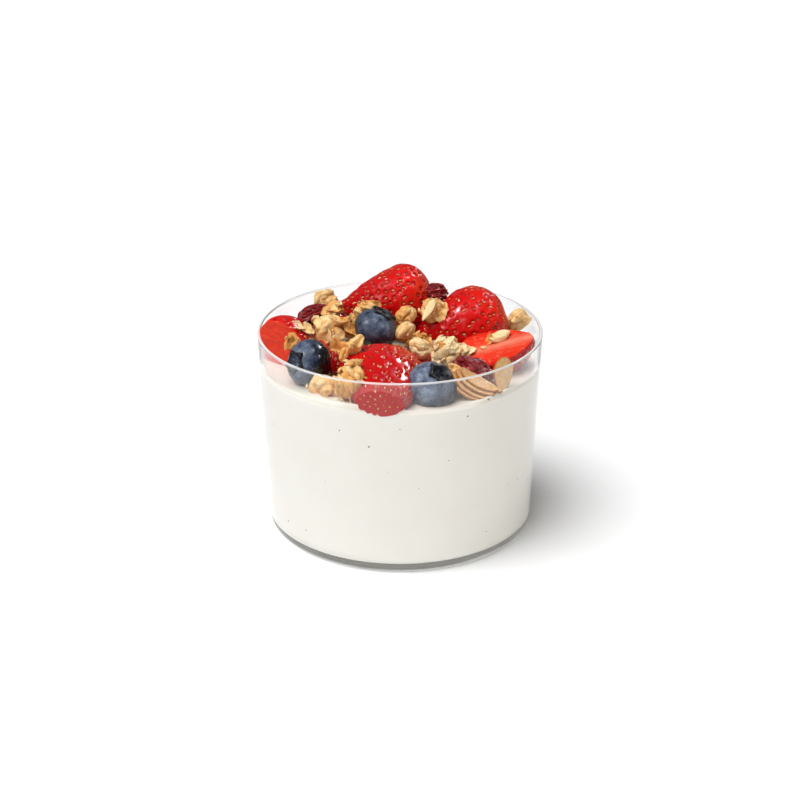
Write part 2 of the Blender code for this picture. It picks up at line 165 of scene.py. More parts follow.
def noise_at(points, spacing, seed):
    """Smooth noise, about -1 to 1, at points in mm, with features about that far apart."""
    offset = Vector((seed * 7.31, seed * 3.17, seed * 5.53))
    return np.array([noise.noise(Vector(p) / spacing + offset) for p in points.tolist()])


def copies(obj, places):
    """One mesh of the piece at each place, which is (3x3 whose rows are its axes, offset in mm)."""
    base = points_of(obj)
    faces = [tuple(polygon.vertices) for polygon in obj.data.polygons]
    points = np.concatenate([base @ axes + offset for axes, offset in places])
    count = len(base)
    all_faces = [tuple(v + i * count for v in face) for i in range(len(places)) for face in faces]
    mesh = bpy.data.meshes.new(obj.name)
    mesh.from_pydata((points * MM).tolist(), [], all_faces)
    made = bpy.data.objects.new(obj.name, mesh)
    bpy.context.scene.collection.objects.link(made)
    bpy.data.objects.remove(obj)
    return made


def dress(obj, name, nodes, material):
    """Names a finished piece, gives it its material and ties it to the frame."""
    obj.name = obj.data.name = name
    obj.data.materials.append(material)
    obj.data.shade_smooth()
    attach(obj, "root")
    if nodes:
        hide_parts(*nodes)
    return obj


# ---------------------------------------------------------------- materials


def linear(colour):
    """An sRGB hex colour as Blender's linear RGBA."""
    parts = [int(colour[i : i + 2], 16) / 255 for i in (1, 3, 5)]
    return (*[c / 12.92 if c <= 0.04045 else ((c + 0.055) / 1.055) ** 2.4 for c in parts], 1.0)


def new_material(name):
    """An empty node material, and its node tree."""
    material = bpy.data.materials.new(name)
    material.use_nodes = True
    material.node_tree.nodes.clear()
    return material, material.node_tree


def add(tree, kind, inputs=None, stops=None, **settings):
    """Adds a node. inputs are values, hex colours or the sockets that feed them; stops are a ramp's."""
    made = tree.nodes.new("ShaderNode" + kind)
    for key, value in settings.items():
        setattr(made, key, value)
    for key, value in (inputs or {}).items():
        if isinstance(value, bpy.types.NodeSocket):
            tree.links.new(value, made.inputs[key])
        elif isinstance(value, str):
            made.inputs[key].default_value = linear(value)
        else:
            made.inputs[key].default_value = value
    if stops:
        ramp = made.color_ramp.elements
        while len(ramp) < len(stops):
            ramp.new(0.5)
        for element, (at, colour) in zip(ramp, stops):
            element.position = at
            element.color = linear(colour)
    return made


def mix_colour(tree, share, first, second, blend="MIX"):
    """The colour output of a Mix node."""
    return add(tree, "Mix", {0: share, 6: first, 7: second}, data_type="RGBA", blend_type=blend).outputs[2]


def soda_lime_glass():
    """Soda-lime glass, pressed and fire-polished: clear, colourless and quite smooth.

    The top of its lip is mixed with plain white, a painted highlight for the white line that real glass shows
    there.
    Rays that carry soft light pass straight through the glass, as they nearly do through a thin real wall.
    """
    material, tree = new_material("pressed_soda_lime_glass")
    glass = add(
        tree,
        "BsdfPrincipled",
        {"Base Color": "#FEFFFF", "Roughness": 0.0, "IOR": 1.5, "Transmission Weight": 1.0},
    )
    path = add(tree, "LightPath").outputs
    soft = add(tree, "Math", {0: path["Is Shadow Ray"], 1: path["Is Diffuse Ray"]}, operation="MAXIMUM")
    height = add(tree, "SeparateXYZ", {0: add(tree, "TexCoord").outputs["Object"]}).outputs["Z"]
    start, end = (GLASS_HEIGHT - PAINTED_LIP_LINE) * MM, (GLASS_HEIGHT - PAINTED_LIP_WHITEST) * MM
    # Painted highlight: the lip's top is mixed with white diffuse, so it shows as a white line.
    lip = add(tree, "MapRange", {"Value": height, "From Min": start, "From Max": end, "To Max": 0.5})
    painted_lip_highlight = add(tree, "BsdfDiffuse", {"Color": "#FFFFFF"})
    seen = add(tree, "MixShader", {0: lip.outputs[0], 1: glass.outputs[0], 2: painted_lip_highlight.outputs[0]})
    clear = add(tree, "BsdfTransparent", {"Color": "#FBFCFC"})
    both = add(tree, "MixShader", {0: soft.outputs[0], 1: seen.outputs[0], 2: clear.outputs[0]})
    add(tree, "OutputMaterial", {"Surface": both.outputs[0]})
    return material


def set_yogurt():
    """Plain whole-milk yogurt, set and smooth: warm white, satin, with fruit juice where berries touch it.

    Its top is drawn a little darker, painted shade where the light from above falls on it, and its base glows
    a little, painted light for what the glass's floor would let in.
    """
    material, tree = new_material("set_whole_milk_yogurt")
    place = add(tree, "TexCoord").outputs["Object"]
    cloud = add(tree, "TexNoise", {"Vector": place, "Scale": 1 / (14 * MM), "Detail": 2.0})
    cream = add(tree, "ValToRGB", {"Fac": cloud.outputs["Fac"]}, stops=[(0.3, "#EDE9E1"), (0.7, "#EFECE5")])
    juice = add(tree, "Attribute", attribute_name="juice")
    stained = mix_colour(tree, juice.outputs["Fac"], cream.outputs["Color"], "#E9BDB2")
    height = add(tree, "SeparateXYZ", {0: place}).outputs["Z"]
    # Painted shade: the top is drawn darker, so that the light from above leaves it no brighter than the
    # sides.
    start, end = (YOGURT_LEVEL - 1.0) * MM, (YOGURT_LEVEL - 0.3) * MM
    painted_top_shade = add(tree, "MapRange", {"Value": height, "From Min": start, "From Max": end, "To Max": 0.55})
    wet = mix_colour(tree, painted_top_shade.outputs[0], stained, "#D6D0C4", "MULTIPLY")
    # Painted light: the base glows faintly, standing in for the light that the glass's floor pipes under it.
    start, end = (FLOOR + 1.5) * MM, FLOOR * MM
    base = add(tree, "MapRange", {"Value": height, "From Min": start, "From Max": end, "To Max": 0.09})
    fine = add(tree, "TexNoise", {"Vector": place, "Scale": 1 / (1.6 * MM), "Detail": 3.0})
    relief = add(tree, "Bump", {"Strength": 0.15, "Distance": 0.1 * MM, "Height": fine.outputs["Fac"]})
    shader = add(
        tree,
        "BsdfPrincipled",
        {
            "Base Color": wet,
            "Roughness": 0.38,
            "IOR": 1.35,
            "Subsurface Weight": 0.3,
            "Subsurface Radius": (1.0, 0.9, 0.7),
            "Subsurface Scale": 2.5 * MM,
            "Normal": relief.outputs[0],
            "Emission Color": "#EFECE6",
            "Emission Strength": base.outputs[0],
        },
    )
    add(tree, "OutputMaterial", {"Surface": shader.outputs[0]})
    return material


def strawberry_fruit():
    """Ripe strawberry, wet from cutting: glossy deep red skin, and pale orange-red flesh on the cut."""
    material, tree = new_material("ripe_strawberry")
    own = add(tree, "SeparateXYZ", {0: add(tree, "Attribute", attribute_name="berry").outputs["Vector"]})
    place = add(tree, "TexCoord").outputs["Object"]
    cut = add(tree, "Attribute", attribute_name="cut").outputs["Fac"]
    pit = add(tree, "Attribute", attribute_name="pit").outputs["Fac"]

    blotch = add(tree, "TexNoise", {"Vector": place, "Scale": 1 / (5.5 * MM), "Detail": 2.0})
    drift = add(
        tree,
        "Math",
        {0: blotch.outputs["Fac"], 1: 0.5, 2: own.outputs["X"]},
        operation="MULTIPLY_ADD",
    )
    ripeness = add(tree, "MapRange", {"Value": drift.outputs[0], "From Min": -0.75, "From Max": 0.9})
    skin = add(
        tree,
        "ValToRGB",
        {"Fac": ripeness.outputs[0]},
        stops=[(0.0, "#E2421C"), (0.16, "#D81A0C"), (0.4, "#C80A08"), (1.0, "#B20408")],
    )
    # Painted shade: the skin is drawn a darker red in its pits.
    skin = mix_colour(tree, pit, skin.outputs["Color"], "#A60508")

    # The cut: a pale core along the middle, then flesh with fibres that fan out to the skin. A firm berry has
    # no core, and its flesh is even.
    across = add(tree, "Math", {0: own.outputs["Y"]}, operation="ABSOLUTE")
    slope = add(tree, "Math", {0: own.outputs["X"], 1: 0.35}, operation="ADD")
    angle = add(tree, "Math", {0: own.outputs["Y"], 1: slope.outputs[0]}, operation="ARCTAN2")
    reach = add(tree, "Math", {0: across.outputs[0], 1: 0.9}, operation="MULTIPLY")
    fan = add(tree, "CombineXYZ", {"X": angle.outputs[0], "Y": reach.outputs[0]})
    fibre = add(tree, "TexNoise", {"Vector": fan.outputs[0], "Scale": 7.0, "Detail": 4.0, "Roughness": 0.6})
    firm = add(tree, "Attribute", attribute_name="firm").outputs["Fac"]
    depth = add(
        tree,
        "Math",
        {0: fibre.outputs["Fac"], 1: 0.28, 2: across.outputs[0]},
        operation="MULTIPLY_ADD",
    )
    depth = add(tree, "Mix", {0: firm, 2: depth.outputs[0], 3: 0.5}, data_type="FLOAT")
    flesh = add(
        tree,
        "ValToRGB",
        {"Fac": depth.outputs[0]},
        stops=[(0.14, "#E27C64"), (0.3, "#DA5A42"), (0.42, "#DC3A20"), (0.86, "#D8260F"), (1.0, "#B80C08")],
    )
    pale = add(tree, "Math", {0: firm, 1: -0.32, 2: 0.38}, operation="MULTIPLY_ADD")
    vein = add(
        tree,
        "MapRange",
        {"Value": fibre.outputs["Fac"], "From Min": 0.52, "From Max": 0.7, "To Max": pale.outputs[0]},
    )
    flesh = mix_colour(tree, vein.outputs[0], flesh.outputs["Color"], "#EE967C")
    colour = mix_colour(tree, cut, skin, flesh)

    pore = add(tree, "TexNoise", {"Vector": place, "Scale": 1 / (0.5 * MM), "Detail": 2.0})
    grain = add(tree, "Mix", {0: cut, 2: pore.outputs["Fac"], 3: fibre.outputs["Fac"]}, data_type="FLOAT")
    relief = add(tree, "Bump", {"Strength": 0.25, "Distance": 0.08 * MM, "Height": grain.outputs[0]})
    rough = add(tree, "MapRange", {"Value": cut, "To Min": 0.22, "To Max": 0.32})
    wet = add(tree, "MapRange", {"Value": cut, "To Min": 0.3, "To Max": 0.04})
    shader = add(
        tree,
        "BsdfPrincipled",
        {
            "Base Color": colour,
            "Roughness": rough.outputs[0],
            "IOR": 1.42,
            "Specular IOR Level": 0.25,
            "Subsurface Weight": 0.06,
            "Subsurface Radius": (1.0, 0.15, 0.08),
            "Subsurface Scale": 1.2 * MM,
            "Coat Weight": wet.outputs[0],
            "Coat Roughness": 0.05,
            "Normal": relief.outputs[0],
        },
    )
    add(tree, "OutputMaterial", {"Surface": shader.outputs[0]})
    return material


def strawberry_seed():
    """Strawberry seeds: dry little nutlets, straw yellow, some of them still red."""
    material, tree = new_material("strawberry_nutlet")
    place = add(tree, "TexCoord").outputs["Object"]
    tone = add(tree, "TexNoise", {"Vector": place, "Scale": 1 / (2.2 * MM), "Detail": 0.0})
    colour = add(
        tree,
        "ValToRGB",
        {"Fac": tone.outputs["Fac"]},
        stops=[(0.34, "#B4501E"), (0.5, "#D48E40"), (0.68, "#EABE80")],
    )
    shader = add(
        tree,
        "BsdfPrincipled",
        {"Base Color": colour.outputs["Color"], "Roughness": 0.2, "IOR": 1.5},
    )
    add(tree, "OutputMaterial", {"Surface": shader.outputs[0]})
    return material


def blueberry_skin():
    """Blueberry: blue-black skin under a pale waxy bloom, rubbed off in patches where it shines."""
    material, tree = new_material("blueberry_skin_with_bloom")
    place = add(tree, "TexCoord").outputs["Object"]
    # The bloom mark is partly painted light: it is palest on the side that faces the light.
    wax_and_painted_light = add(tree, "Attribute", attribute_name="bloom").outputs["Fac"]
    dry = add(tree, "Attribute", attribute_name="crown").outputs["Fac"]
    patch = add(
        tree,
        "TexNoise",
        {"Vector": place, "Scale": 1 / (3.0 * MM), "Detail": 6.0, "Roughness": 0.75},
    )
    paler_patches = add(tree, "MapRange", {"Value": patch.outputs["Fac"], "From Min": 0.3, "From Max": 0.68})
    left = add(tree, "Math", {0: paler_patches.outputs[0], 1: 0.75, 2: wax_and_painted_light}, operation="MULTIPLY_ADD")
    bloom = add(tree, "MapRange", {"Value": left.outputs[0], "From Min": 0.5, "From Max": 1.45})
    skin = add(
        tree,
        "ValToRGB",
        {"Fac": bloom.outputs[0]},
        stops=[(0.0, "#0A0B12"), (0.3, "#1E2636"), (0.65, "#485268"), (1.0, "#808C9E")],
    )
    colour = mix_colour(tree, dry, skin.outputs["Color"], "#0C0D12")
    rough = add(tree, "MapRange", {"Value": bloom.outputs[0], "To Min": 0.16, "To Max": 0.55})
    fine = add(tree, "TexNoise", {"Vector": place, "Scale": 1 / (0.7 * MM), "Detail": 2.0})
    relief = add(tree, "Bump", {"Strength": 0.2, "Distance": 0.06 * MM, "Height": fine.outputs["Fac"]})
    shader = add(
        tree,
        "BsdfPrincipled",
        {"Base Color": colour, "Roughness": rough.outputs[0], "IOR": 1.45, "Normal": relief.outputs[0]},
    )
    add(tree, "OutputMaterial", {"Surface": shader.outputs[0]})
    return material


def dried_cranberry():
    """Dried, sweetened cranberry: dark maroon, leathery folds, tacky gloss, paler on its fine ridges."""
    material, tree = new_material("dried_sweetened_cranberry")
    place = add(tree, "TexCoord").outputs["Object"]
    ridge = add(tree, "Attribute", attribute_name="ridge").outputs["Fac"]
    speck = add(
        tree,
        "TexNoise",
        {"Vector": place, "Scale": 1 / (1.1 * MM), "Detail": 4.0, "Roughness": 0.65},
    )
    paler_patches = add(tree, "Math", {0: speck.outputs["Fac"], 1: ridge}, operation="MULTIPLY")
    colour = add(
        tree,
        "ValToRGB",
        {"Fac": paler_patches.outputs[0]},
        stops=[(0.0, "#4A0608"), (0.2, "#7E1016"), (0.45, "#A83236"), (0.7, "#CE8278")],
    )
    relief = add(tree, "Bump", {"Strength": 0.5, "Distance": 0.15 * MM, "Height": speck.outputs["Fac"]})
    shader = add(
        tree,
        "BsdfPrincipled",
        {"Base Color": colour.outputs["Color"], "Roughness": 0.17, "IOR": 1.48, "Normal": relief.outputs[0]},
    )
    add(tree, "OutputMaterial", {"Surface": shader.outputs[0]})
    return material


def baked_oats():
    """Oat flakes baked with honey: each its own shade from cream to toasted brown, dry with a thin glaze."""
    material, tree = new_material("honey_baked_oats")
    place = add(tree, "TexCoord").outputs["Object"]
    tone = add(tree, "Attribute", attribute_name="tone").outputs["Fac"]
    crease = add(tree, "Attribute", attribute_name="crease").outputs["Fac"]
    mottle = add(
        tree,
        "TexNoise",
        {"Vector": place, "Scale": 1 / (1.2 * MM), "Detail": 5.0, "Roughness": 0.65},
    )
    drift = add(tree, "Math", {0: mottle.outputs["Fac"], 1: 0.9, 2: tone}, operation="MULTIPLY_ADD")
    colour = add(
        tree,
        "ValToRGB",
        {"Fac": drift.outputs[0]},
        stops=[(0.4, "#FBE6BA"), (0.7, "#F6D49C"), (0.88, "#EEBC76"), (1.0, "#DC9C50")],
    )
    # Partly painted shade: the deeper inside its lump, the browner and darker the oats are drawn.
    browned_and_shaded = mix_colour(tree, crease, colour.outputs["Color"], "#C8823A")
    bran = add(tree, "TexNoise", {"Vector": place, "Scale": 1 / (0.8 * MM), "Detail": 4.0, "Roughness": 0.6})
    spots = add(
        tree,
        "MapRange",
        {"Value": bran.outputs["Fac"], "From Min": 0.54, "From Max": 0.7, "To Max": 0.35},
    )
    browned_and_shaded = mix_colour(tree, spots.outputs[0], browned_and_shaded, "#BE7C36")
    relief = add(tree, "Bump", {"Strength": 0.8, "Distance": 0.3 * MM, "Height": bran.outputs["Fac"]})
    shader = add(
        tree,
        "BsdfPrincipled",
        {
            "Base Color": browned_and_shaded,
            "Roughness": 0.36,
            "IOR": 1.45,
            "Subsurface Weight": 0.2,
            "Subsurface Radius": (1.0, 0.55, 0.2),
            "Subsurface Scale": 1.0 * MM,
            "Normal": relief.outputs[0],
        },
    )
    add(tree, "OutputMaterial", {"Surface": shader.outputs[0]})
    return material


def flaked_almond():
    """Blanched almond, sliced thin: waxy cream faces with a fine grain and a tan edge."""
    material, tree = new_material("sliced_almond")
    place = add(tree, "TexCoord").outputs["Object"]
    edge = add(tree, "Attribute", attribute_name="edge").outputs["Fac"]
    grain = add(tree, "TexNoise", {"Vector": place, "Scale": 1 / (0.9 * MM), "Detail": 3.0})
    face = add(tree, "ValToRGB", {"Fac": grain.outputs["Fac"]}, stops=[(0.3, "#C48C50"), (0.7, "#DCB07A")])
    pale = add(tree, "Attribute", attribute_name="pale").outputs["Fac"]
    face = mix_colour(tree, pale, face.outputs["Color"], "#F2DCA6")
    colour = mix_colour(tree, edge, face, "#A8682E")
    relief = add(tree, "Bump", {"Strength": 0.3, "Distance": 0.08 * MM, "Height": grain.outputs["Fac"]})
    shader = add(
        tree,
        "BsdfPrincipled",
        {"Base Color": colour, "Roughness": 0.45, "IOR": 1.46, "Normal": relief.outputs[0]},
    )
    add(tree, "OutputMaterial", {"Surface": shader.outputs[0]})
    return material


def vanilla_seed():
    """Ground vanilla: dark brown specks under the yogurt's surface, so they look grey."""
    material, tree = new_material("ground_vanilla")
    place = add(tree, "TexCoord").outputs["Object"]
    tone = add(tree, "TexNoise", {"Vector": place, "Scale": 1 / (6 * MM)})
    colour = add(tree, "ValToRGB", {"Fac": tone.outputs["Fac"]}, stops=[(0.3, "#3E362E"), (0.7, "#7A7062")])
    shader = add(tree, "BsdfPrincipled", {"Base Color": colour.outputs["Color"], "Roughness": 0.6})
    add(tree, "OutputMaterial", {"Surface": shader.outputs[0]})
    return material


def matt_board():
    """White matt board, the floor under the glass.

    It is dimmer where wet fruit mirrors it, so that the fruit keeps its depth of colour.
    """
    material, tree = new_material("white_matt_board")
    place = add(tree, "TexCoord").outputs["Object"]
    grain = add(tree, "TexNoise", {"Vector": place, "Scale": 1 / (30 * MM)})
    colour = add(tree, "ValToRGB", {"Fac": grain.outputs["Fac"]}, stops=[(0.3, "#F2F2F3"), (0.7, "#F4F4F4")])
    path = add(tree, "LightPath").outputs
    mirrored = add(
        tree,
        "Math",
        {0: path["Is Glossy Ray"], 1: path["Is Singular Ray"]},
        operation="SUBTRACT",
        use_clamp=True,
    )
    shown = mix_colour(tree, mirrored.outputs[0], colour.outputs["Color"], "#707070")
    shader = add(tree, "BsdfPrincipled", {"Base Color": shown, "Roughness": 0.9})
    add(tree, "OutputMaterial", {"Surface": shader.outputs[0]})
    return material


# ---------------------------------------------------------------- sizes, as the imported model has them

GLASS_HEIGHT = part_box("glass")[1].z / MM
RIM_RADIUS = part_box("glass")[1].x / MM
FOOT_RADIUS = 38.6  # where the wall's slope would meet the table
FOOT_ROUND = 3.8
WALL = 1.7  # how thick the wall is at the floor,
LIP = 0.9  # and at the lip, towards which it thins
# The lip's white line is a painted highlight: these say where it starts and where it is whitest.
PAINTED_LIP_LINE = 0.6  # how far down from its top the lip's white line starts,
PAINTED_LIP_WHITEST = 0.25  # and from where up it is at its whitest
FLOOR = 3.0
INNER_ROUND = 3.2
PUSH_UP_RADIUS = 29.0  # the shallow hollow under the base
PUSH_UP = 0.5
PUSH_UP_SLOPE = 3.0
WALL_LEAN = math.atan2(RIM_RADIUS - FOOT_RADIUS, GLASS_HEIGHT)

YOGURT_LEVEL = 52.0
YOGURT_CREEP = 0.5  # how high the yogurt creeps up the glass,
FRUIT_CREEP = 0.55  # and up what lies in it
YOGURT_WAVE = 0.5
MENISCUS = 1.2  # how far in from the glass the creep starts
SHOULDER = 1.5  # the highest ring on the yogurt's side is that far under its edge
YOGURT_SIDES = 240
MENISCUS_RINGS = 6
TOP_RINGS = 54  # the rings of faces on the yogurt's top, each
TOP_RING = 0.68  # that wide

INTO_WALL = 0.05  # how far the yogurt reaches into the glass, so that no air shows between them
PRESSED = 0.1  # and how far the fruit that touches the glass does


def outer_radius(height):
    """The radius of the glass's outside at that height."""
    return FOOT_RADIUS + height * math.tan(WALL_LEAN)


def inner_radius(height):
    """The radius of its inside there."""
    return outer_radius(height) - (WALL + (LIP - WALL) * height / GLASS_HEIGHT) / math.cos(WALL_LEAN)


def press_on_glass(points, reach=PRESSED):
    """Points in mm that would pass the inside of the glass are pressed flat on it."""
    spread = np.hypot(points[:, 0], points[:, 1])
    share = np.minimum(1.0, (inner_radius(points[:, 2]) + reach) / np.maximum(spread, 1e-6))
    points = points.copy()
    points[:, :2] *= share[:, None]
    return points


def shift_onto(points, node, axes, hold):
    """The shift, along own axes, that brings own points' box to the node's at the sides held on each axis."""
    low, high = own_box(node, axes)
    to_low, to_high = low - points.min(0), high - points.max(0)
    sides = {"low": to_low, "high": to_high, "middle": (to_low + to_high) / 2}
    return np.array([sides[side][i] for i, side in enumerate(hold)])


def fitted(points, low, high):
    """Points stretched so that their box is the one between low and high."""
    mine_low, mine_high = points.min(0), points.max(0)
    return low + (points - mine_low) * (high - low) / (mine_high - mine_low)


# ---------------------------------------------------------------- the glass

GLASS_SIDES = 180
HOLD = 0.3  # how far from each bevel a ring of edges keeps the wall's smooth shading straight
CLOSE = 0.05  # how near its place, in mm, an edge or a face is looked for


def ring(radius, height):
    """A test for edges of the ring of that radius at that height."""
    return lambda p: abs(p.z - height) < CLOSE and abs(math.hypot(p.x, p.y) - radius) < CLOSE


def cap(height):
    """A test for the face across the middle at that height."""
    return lambda p: abs(p.z - height) < CLOSE and math.hypot(p.x, p.y) < CLOSE


def tapered_cylinder(low, high, low_radius, high_radius, sides):
    """A closed cylinder that leans out to its top."""
    made = primitive(
        "cylinder",
        vertices=sides,
        radius=low_radius * MM,
        depth=(high - low) * MM,
        location=(0, 0, (low + high) / 2 * MM),
    )
    wider = high_radius / low_radius
    with editing(made, "DESELECT"):
        pick(made, "FACE", cap(high))
        bpy.ops.transform.resize(value=(wider, wider, 1))
    return made


def pressed_tumbler(material):
    """The tumbler: a tapered cylinder hollowed from its top, its lip, corners and foot rounded by bevels."""
    glass = tapered_cylinder(0.0, GLASS_HEIGHT, FOOT_RADIUS, RIM_RADIUS, GLASS_SIDES)
    floor_radius = inner_radius(FLOOR)
    narrower = floor_radius / inner_radius(GLASS_HEIGHT)
    down = (0, 0, (FLOOR - GLASS_HEIGHT) * MM)
    with editing(glass, "DESELECT"):
        pick(glass, "FACE", cap(GLASS_HEIGHT))
        bpy.ops.mesh.inset(thickness=(RIM_RADIUS - inner_radius(GLASS_HEIGHT)) * MM)
        bpy.ops.mesh.extrude_region_move(TRANSFORM_OT_translate={"value": down})
        bpy.ops.transform.resize(value=(narrower, narrower, 1))
        lip = 0.48 * LIP
        for radius in (RIM_RADIUS, inner_radius(GLASS_HEIGHT)):
            pick(glass, "EDGE", ring(radius, GLASS_HEIGHT))
            bpy.ops.mesh.bevel(offset=lip * MM, segments=6)
        pick(glass, "EDGE", ring(floor_radius, FLOOR))
        bpy.ops.mesh.bevel(offset=INNER_ROUND * MM, segments=10)
        pick(glass, "EDGE", ring(FOOT_RADIUS, 0.0))
        bpy.ops.mesh.bevel(offset=FOOT_ROUND * MM, segments=12)
        pick(glass, "FACE", cap(0.0))
        bpy.ops.mesh.inset(thickness=(FOOT_RADIUS - FOOT_ROUND - PUSH_UP_RADIUS) * MM)
        bpy.ops.mesh.inset(thickness=PUSH_UP_SLOPE * MM)
        bpy.ops.transform.translate(value=(0, 0, PUSH_UP * MM))
        for height in (PUSH_UP, FLOOR):
            pick(glass, "FACE", cap(height))
            bpy.ops.mesh.inset(thickness=1.0 * MM)
        for height in (FOOT_ROUND + HOLD, FLOOR + INNER_ROUND + HOLD, GLASS_HEIGHT - lip - HOLD):
            bpy.ops.mesh.select_all(action="SELECT")
            bpy.ops.mesh.bisect(plane_co=(0, 0, height * MM), plane_no=(0, 0, 1))
        bpy.ops.mesh.select_all(action="SELECT")
        bpy.ops.mesh.normals_make_consistent(inside=False)
    return dress(glass, "pressed_tumbler", ["glass"], material)


# ---------------------------------------------------------------- strawberries

HULL_RADIUS = 4.0  # the hollow left where the leaves were cut out
LOBES = ((2, 0.035, 1.0), (3, 0.025, 2.1))  # waves round its waist, their height and phase
SEED_SPACING = 2.15
SEED_CROWDING = 0.72  # seeds nearer than that share of the spacing are thinned out
SEED_STRAY = 0.05  # how far a seed strays from an even spiral, in shares of the berry
PIT_DEPTH = 0.42
PIT_RADIUS = 1.15
GOLDEN_ANGLE = math.pi * (3 - math.sqrt(5))
SETTLED = {"front": (0.6, -0.5, -1.8)}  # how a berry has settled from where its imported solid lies
FIRM = ("open_left",)  # the berries whose flesh is even, with no pale core
HELD = ("high", "middle", "low")  # which sides of its own box a berry takes from its node's, along own axes


def strawberry_skin(unit, length, width, taper, hull, seed, blunt=1.0):
    """Points of the unit sphere, with own +X the tip, taken to the berry's skin, in mm.

    blunt under 1 presses the tip flatter.
    """
    unit = unit.copy()
    unit[:, 0] = np.where(unit[:, 0] > 0, np.abs(unit[:, 0]) ** blunt, unit[:, 0])
    around = np.arctan2(unit[:, 2], unit[:, 1])
    spread = np.hypot(unit[:, 1], unit[:, 2])
    fullness = (1 - taper * unit[:, 0]) / (1 + 0.28 * taper)
    lobes = 1 + sum(high * np.sin(n * around + phase * seed) for n, high, phase in LOBES)
    radius = width / 2 * spread * fullness * lobes
    sunk = np.where(unit[:, 0] < 0, hull * (1 - smooth_step(0.0, HULL_RADIUS, radius)), 0.0)
    return np.stack([length * unit[:, 0] / 2 + sunk, radius * np.cos(around), radius * np.sin(around)], 1)


def spiral_on_sphere(count, turn=0.0):
    """Points spaced evenly over the unit sphere along a spiral, as seeds grow, its poles on X."""
    along = 1 - 2 * (np.arange(count) + 0.5) / count
    around = np.arange(count) * GOLDEN_ANGLE + turn
    level = np.sqrt(1 - along * along)
    return np.stack([along, level * np.cos(around), level * np.sin(around)], 1)


def spread_out(spots, least):
    """The numbers of the spots kept when each that is nearer than that to one kept before it is left out."""
    kept = []
    for number, spot in enumerate(spots):
        if all(np.linalg.norm(spot - spots[other]) > least for other in kept):
            kept.append(number)
    return kept


def nutlet():
    """One strawberry seed, a flattened teardrop 1 mm long, its point at +X."""
    made = primitive("uv_sphere", segments=8, ring_count=6, radius=MM, rotation=(0, math.pi / 2, 0))
    unit = points_of(made)
    narrow = 1 - 0.42 * unit[:, 0]
    move_points(made, unit * np.stack([np.full_like(narrow, 0.5), 0.22 * narrow, 0.16 * narrow], 1))
    return made


def cut_strawberry(name, along, facing, form, material, hold=HELD, blunt=1.0, above=1.0, below=0.0):
    """A hulled berry cut lengthways, with pits for its seeds. Returns it and its seeds' places.

    hold is which sides of its own box give its place, as they stand free in the heap. above and below are
    the shares of its height that it keeps over and under the cut, which is flat when below is 0.
    """
    length, width, taper, hull, cut, seed = form
    node = "strawberry_" + name
    axes = own_axes(along, facing)
    berry = primitive("ico_sphere", subdivisions=7, radius=MM)
    move_points(berry, strawberry_skin(points_of(berry), length, width, taper, hull, seed, blunt))
    with editing(berry, "DESELECT"):
        pick(berry, "VERT", lambda p: p.z < cut)
        bpy.ops.transform.resize(value=(1, 1, below), center_override=(0, 0, cut * MM))
        pick(berry, "VERT", lambda p: p.z > cut)
        bpy.ops.transform.resize(value=(1, 1, above), center_override=(0, 0, cut * MM))
    own = points_of(berry)
    shift = shift_onto(own, node, axes, hold) + axes @ SETTLED.get(name, (0, 0, 0))

    area = math.pi * length * width * 0.95
    random = np.random.default_rng(int(seed * 10))
    spiral = spiral_on_sphere(int(area / SEED_SPACING**2 / 0.87), seed)
    spiral += random.normal(scale=SEED_STRAY, size=spiral.shape)
    spiral /= np.linalg.norm(spiral, axis=1)[:, None]
    spots = strawberry_skin(spiral, length, width, taper, hull, seed, blunt)
    spots[:, 2] = cut + (spots[:, 2] - cut) * np.where(spots[:, 2] > cut, above, below)
    in_hull = (spots[:, 0] < 0) & (np.hypot(spots[:, 1], spots[:, 2]) < HULL_RADIUS)
    spots = spots[((spots[:, 2] > cut + 0.5) | (below > 0)) & ~in_hull]
    spots = spots[spread_out(press_on_glass((spots + shift) @ axes), SEED_CROWDING * SEED_SPACING)]

    normals = normals_of(berry)
    flat = (own[:, 2] < cut + 0.01) & (below == 0)
    far, _ = nearest(own, spots)
    near_cut = smooth_step(0.0, 0.9, own[:, 2] - cut) if below == 0 else 1.0
    swell = noise_at(own, 6.0, seed) * 0.45 + noise_at(own, 2.5, seed) * 0.12
    pit = (1 - np.clip(far / PIT_RADIUS, 0, 1) ** 2) ** 2
    relief = np.where(flat, 0.0, (swell - PIT_DEPTH * pit) * near_cut)
    flesh = noise_at(own, 3.0, seed + 1) * 0.3 + noise_at(own * [0.5, 1, 1], 0.8, seed) * 0.16
    relief += np.where(flat, flesh, 0.0)
    mark(berry, "berry", own * [2 / length, 2 / width, 2 / width])
    mark(berry, "cut", flat.astype(float))
    mark(berry, "firm", np.full(len(own), float(name in FIRM)))
    # The pit mark is painted shade: the skin is drawn darker the nearer a point lies to a seed.
    mark(berry, "pit", np.where(flat, 0.0, 1 - smooth_step(0.3, 1.15, far)))
    move_points(berry, press_on_glass((own + normals * relief[:, None] + shift) @ axes))

    _, index = nearest(spots, own)
    places = []
    for spot, normal in zip(spots, normals[index]):
        to_tip = np.array([1.0, 0, 0]) - normal[0] * normal
        seed_axes = own_axes(to_tip + 1e-4, normal) @ axes * random.uniform(0.75, 1.1)
        places.append((seed_axes, (spot + shift - normal * (PIT_DEPTH - 0.06)) @ axes))
    dress(berry, "cut_" + node, [node], material)
    return berry, places


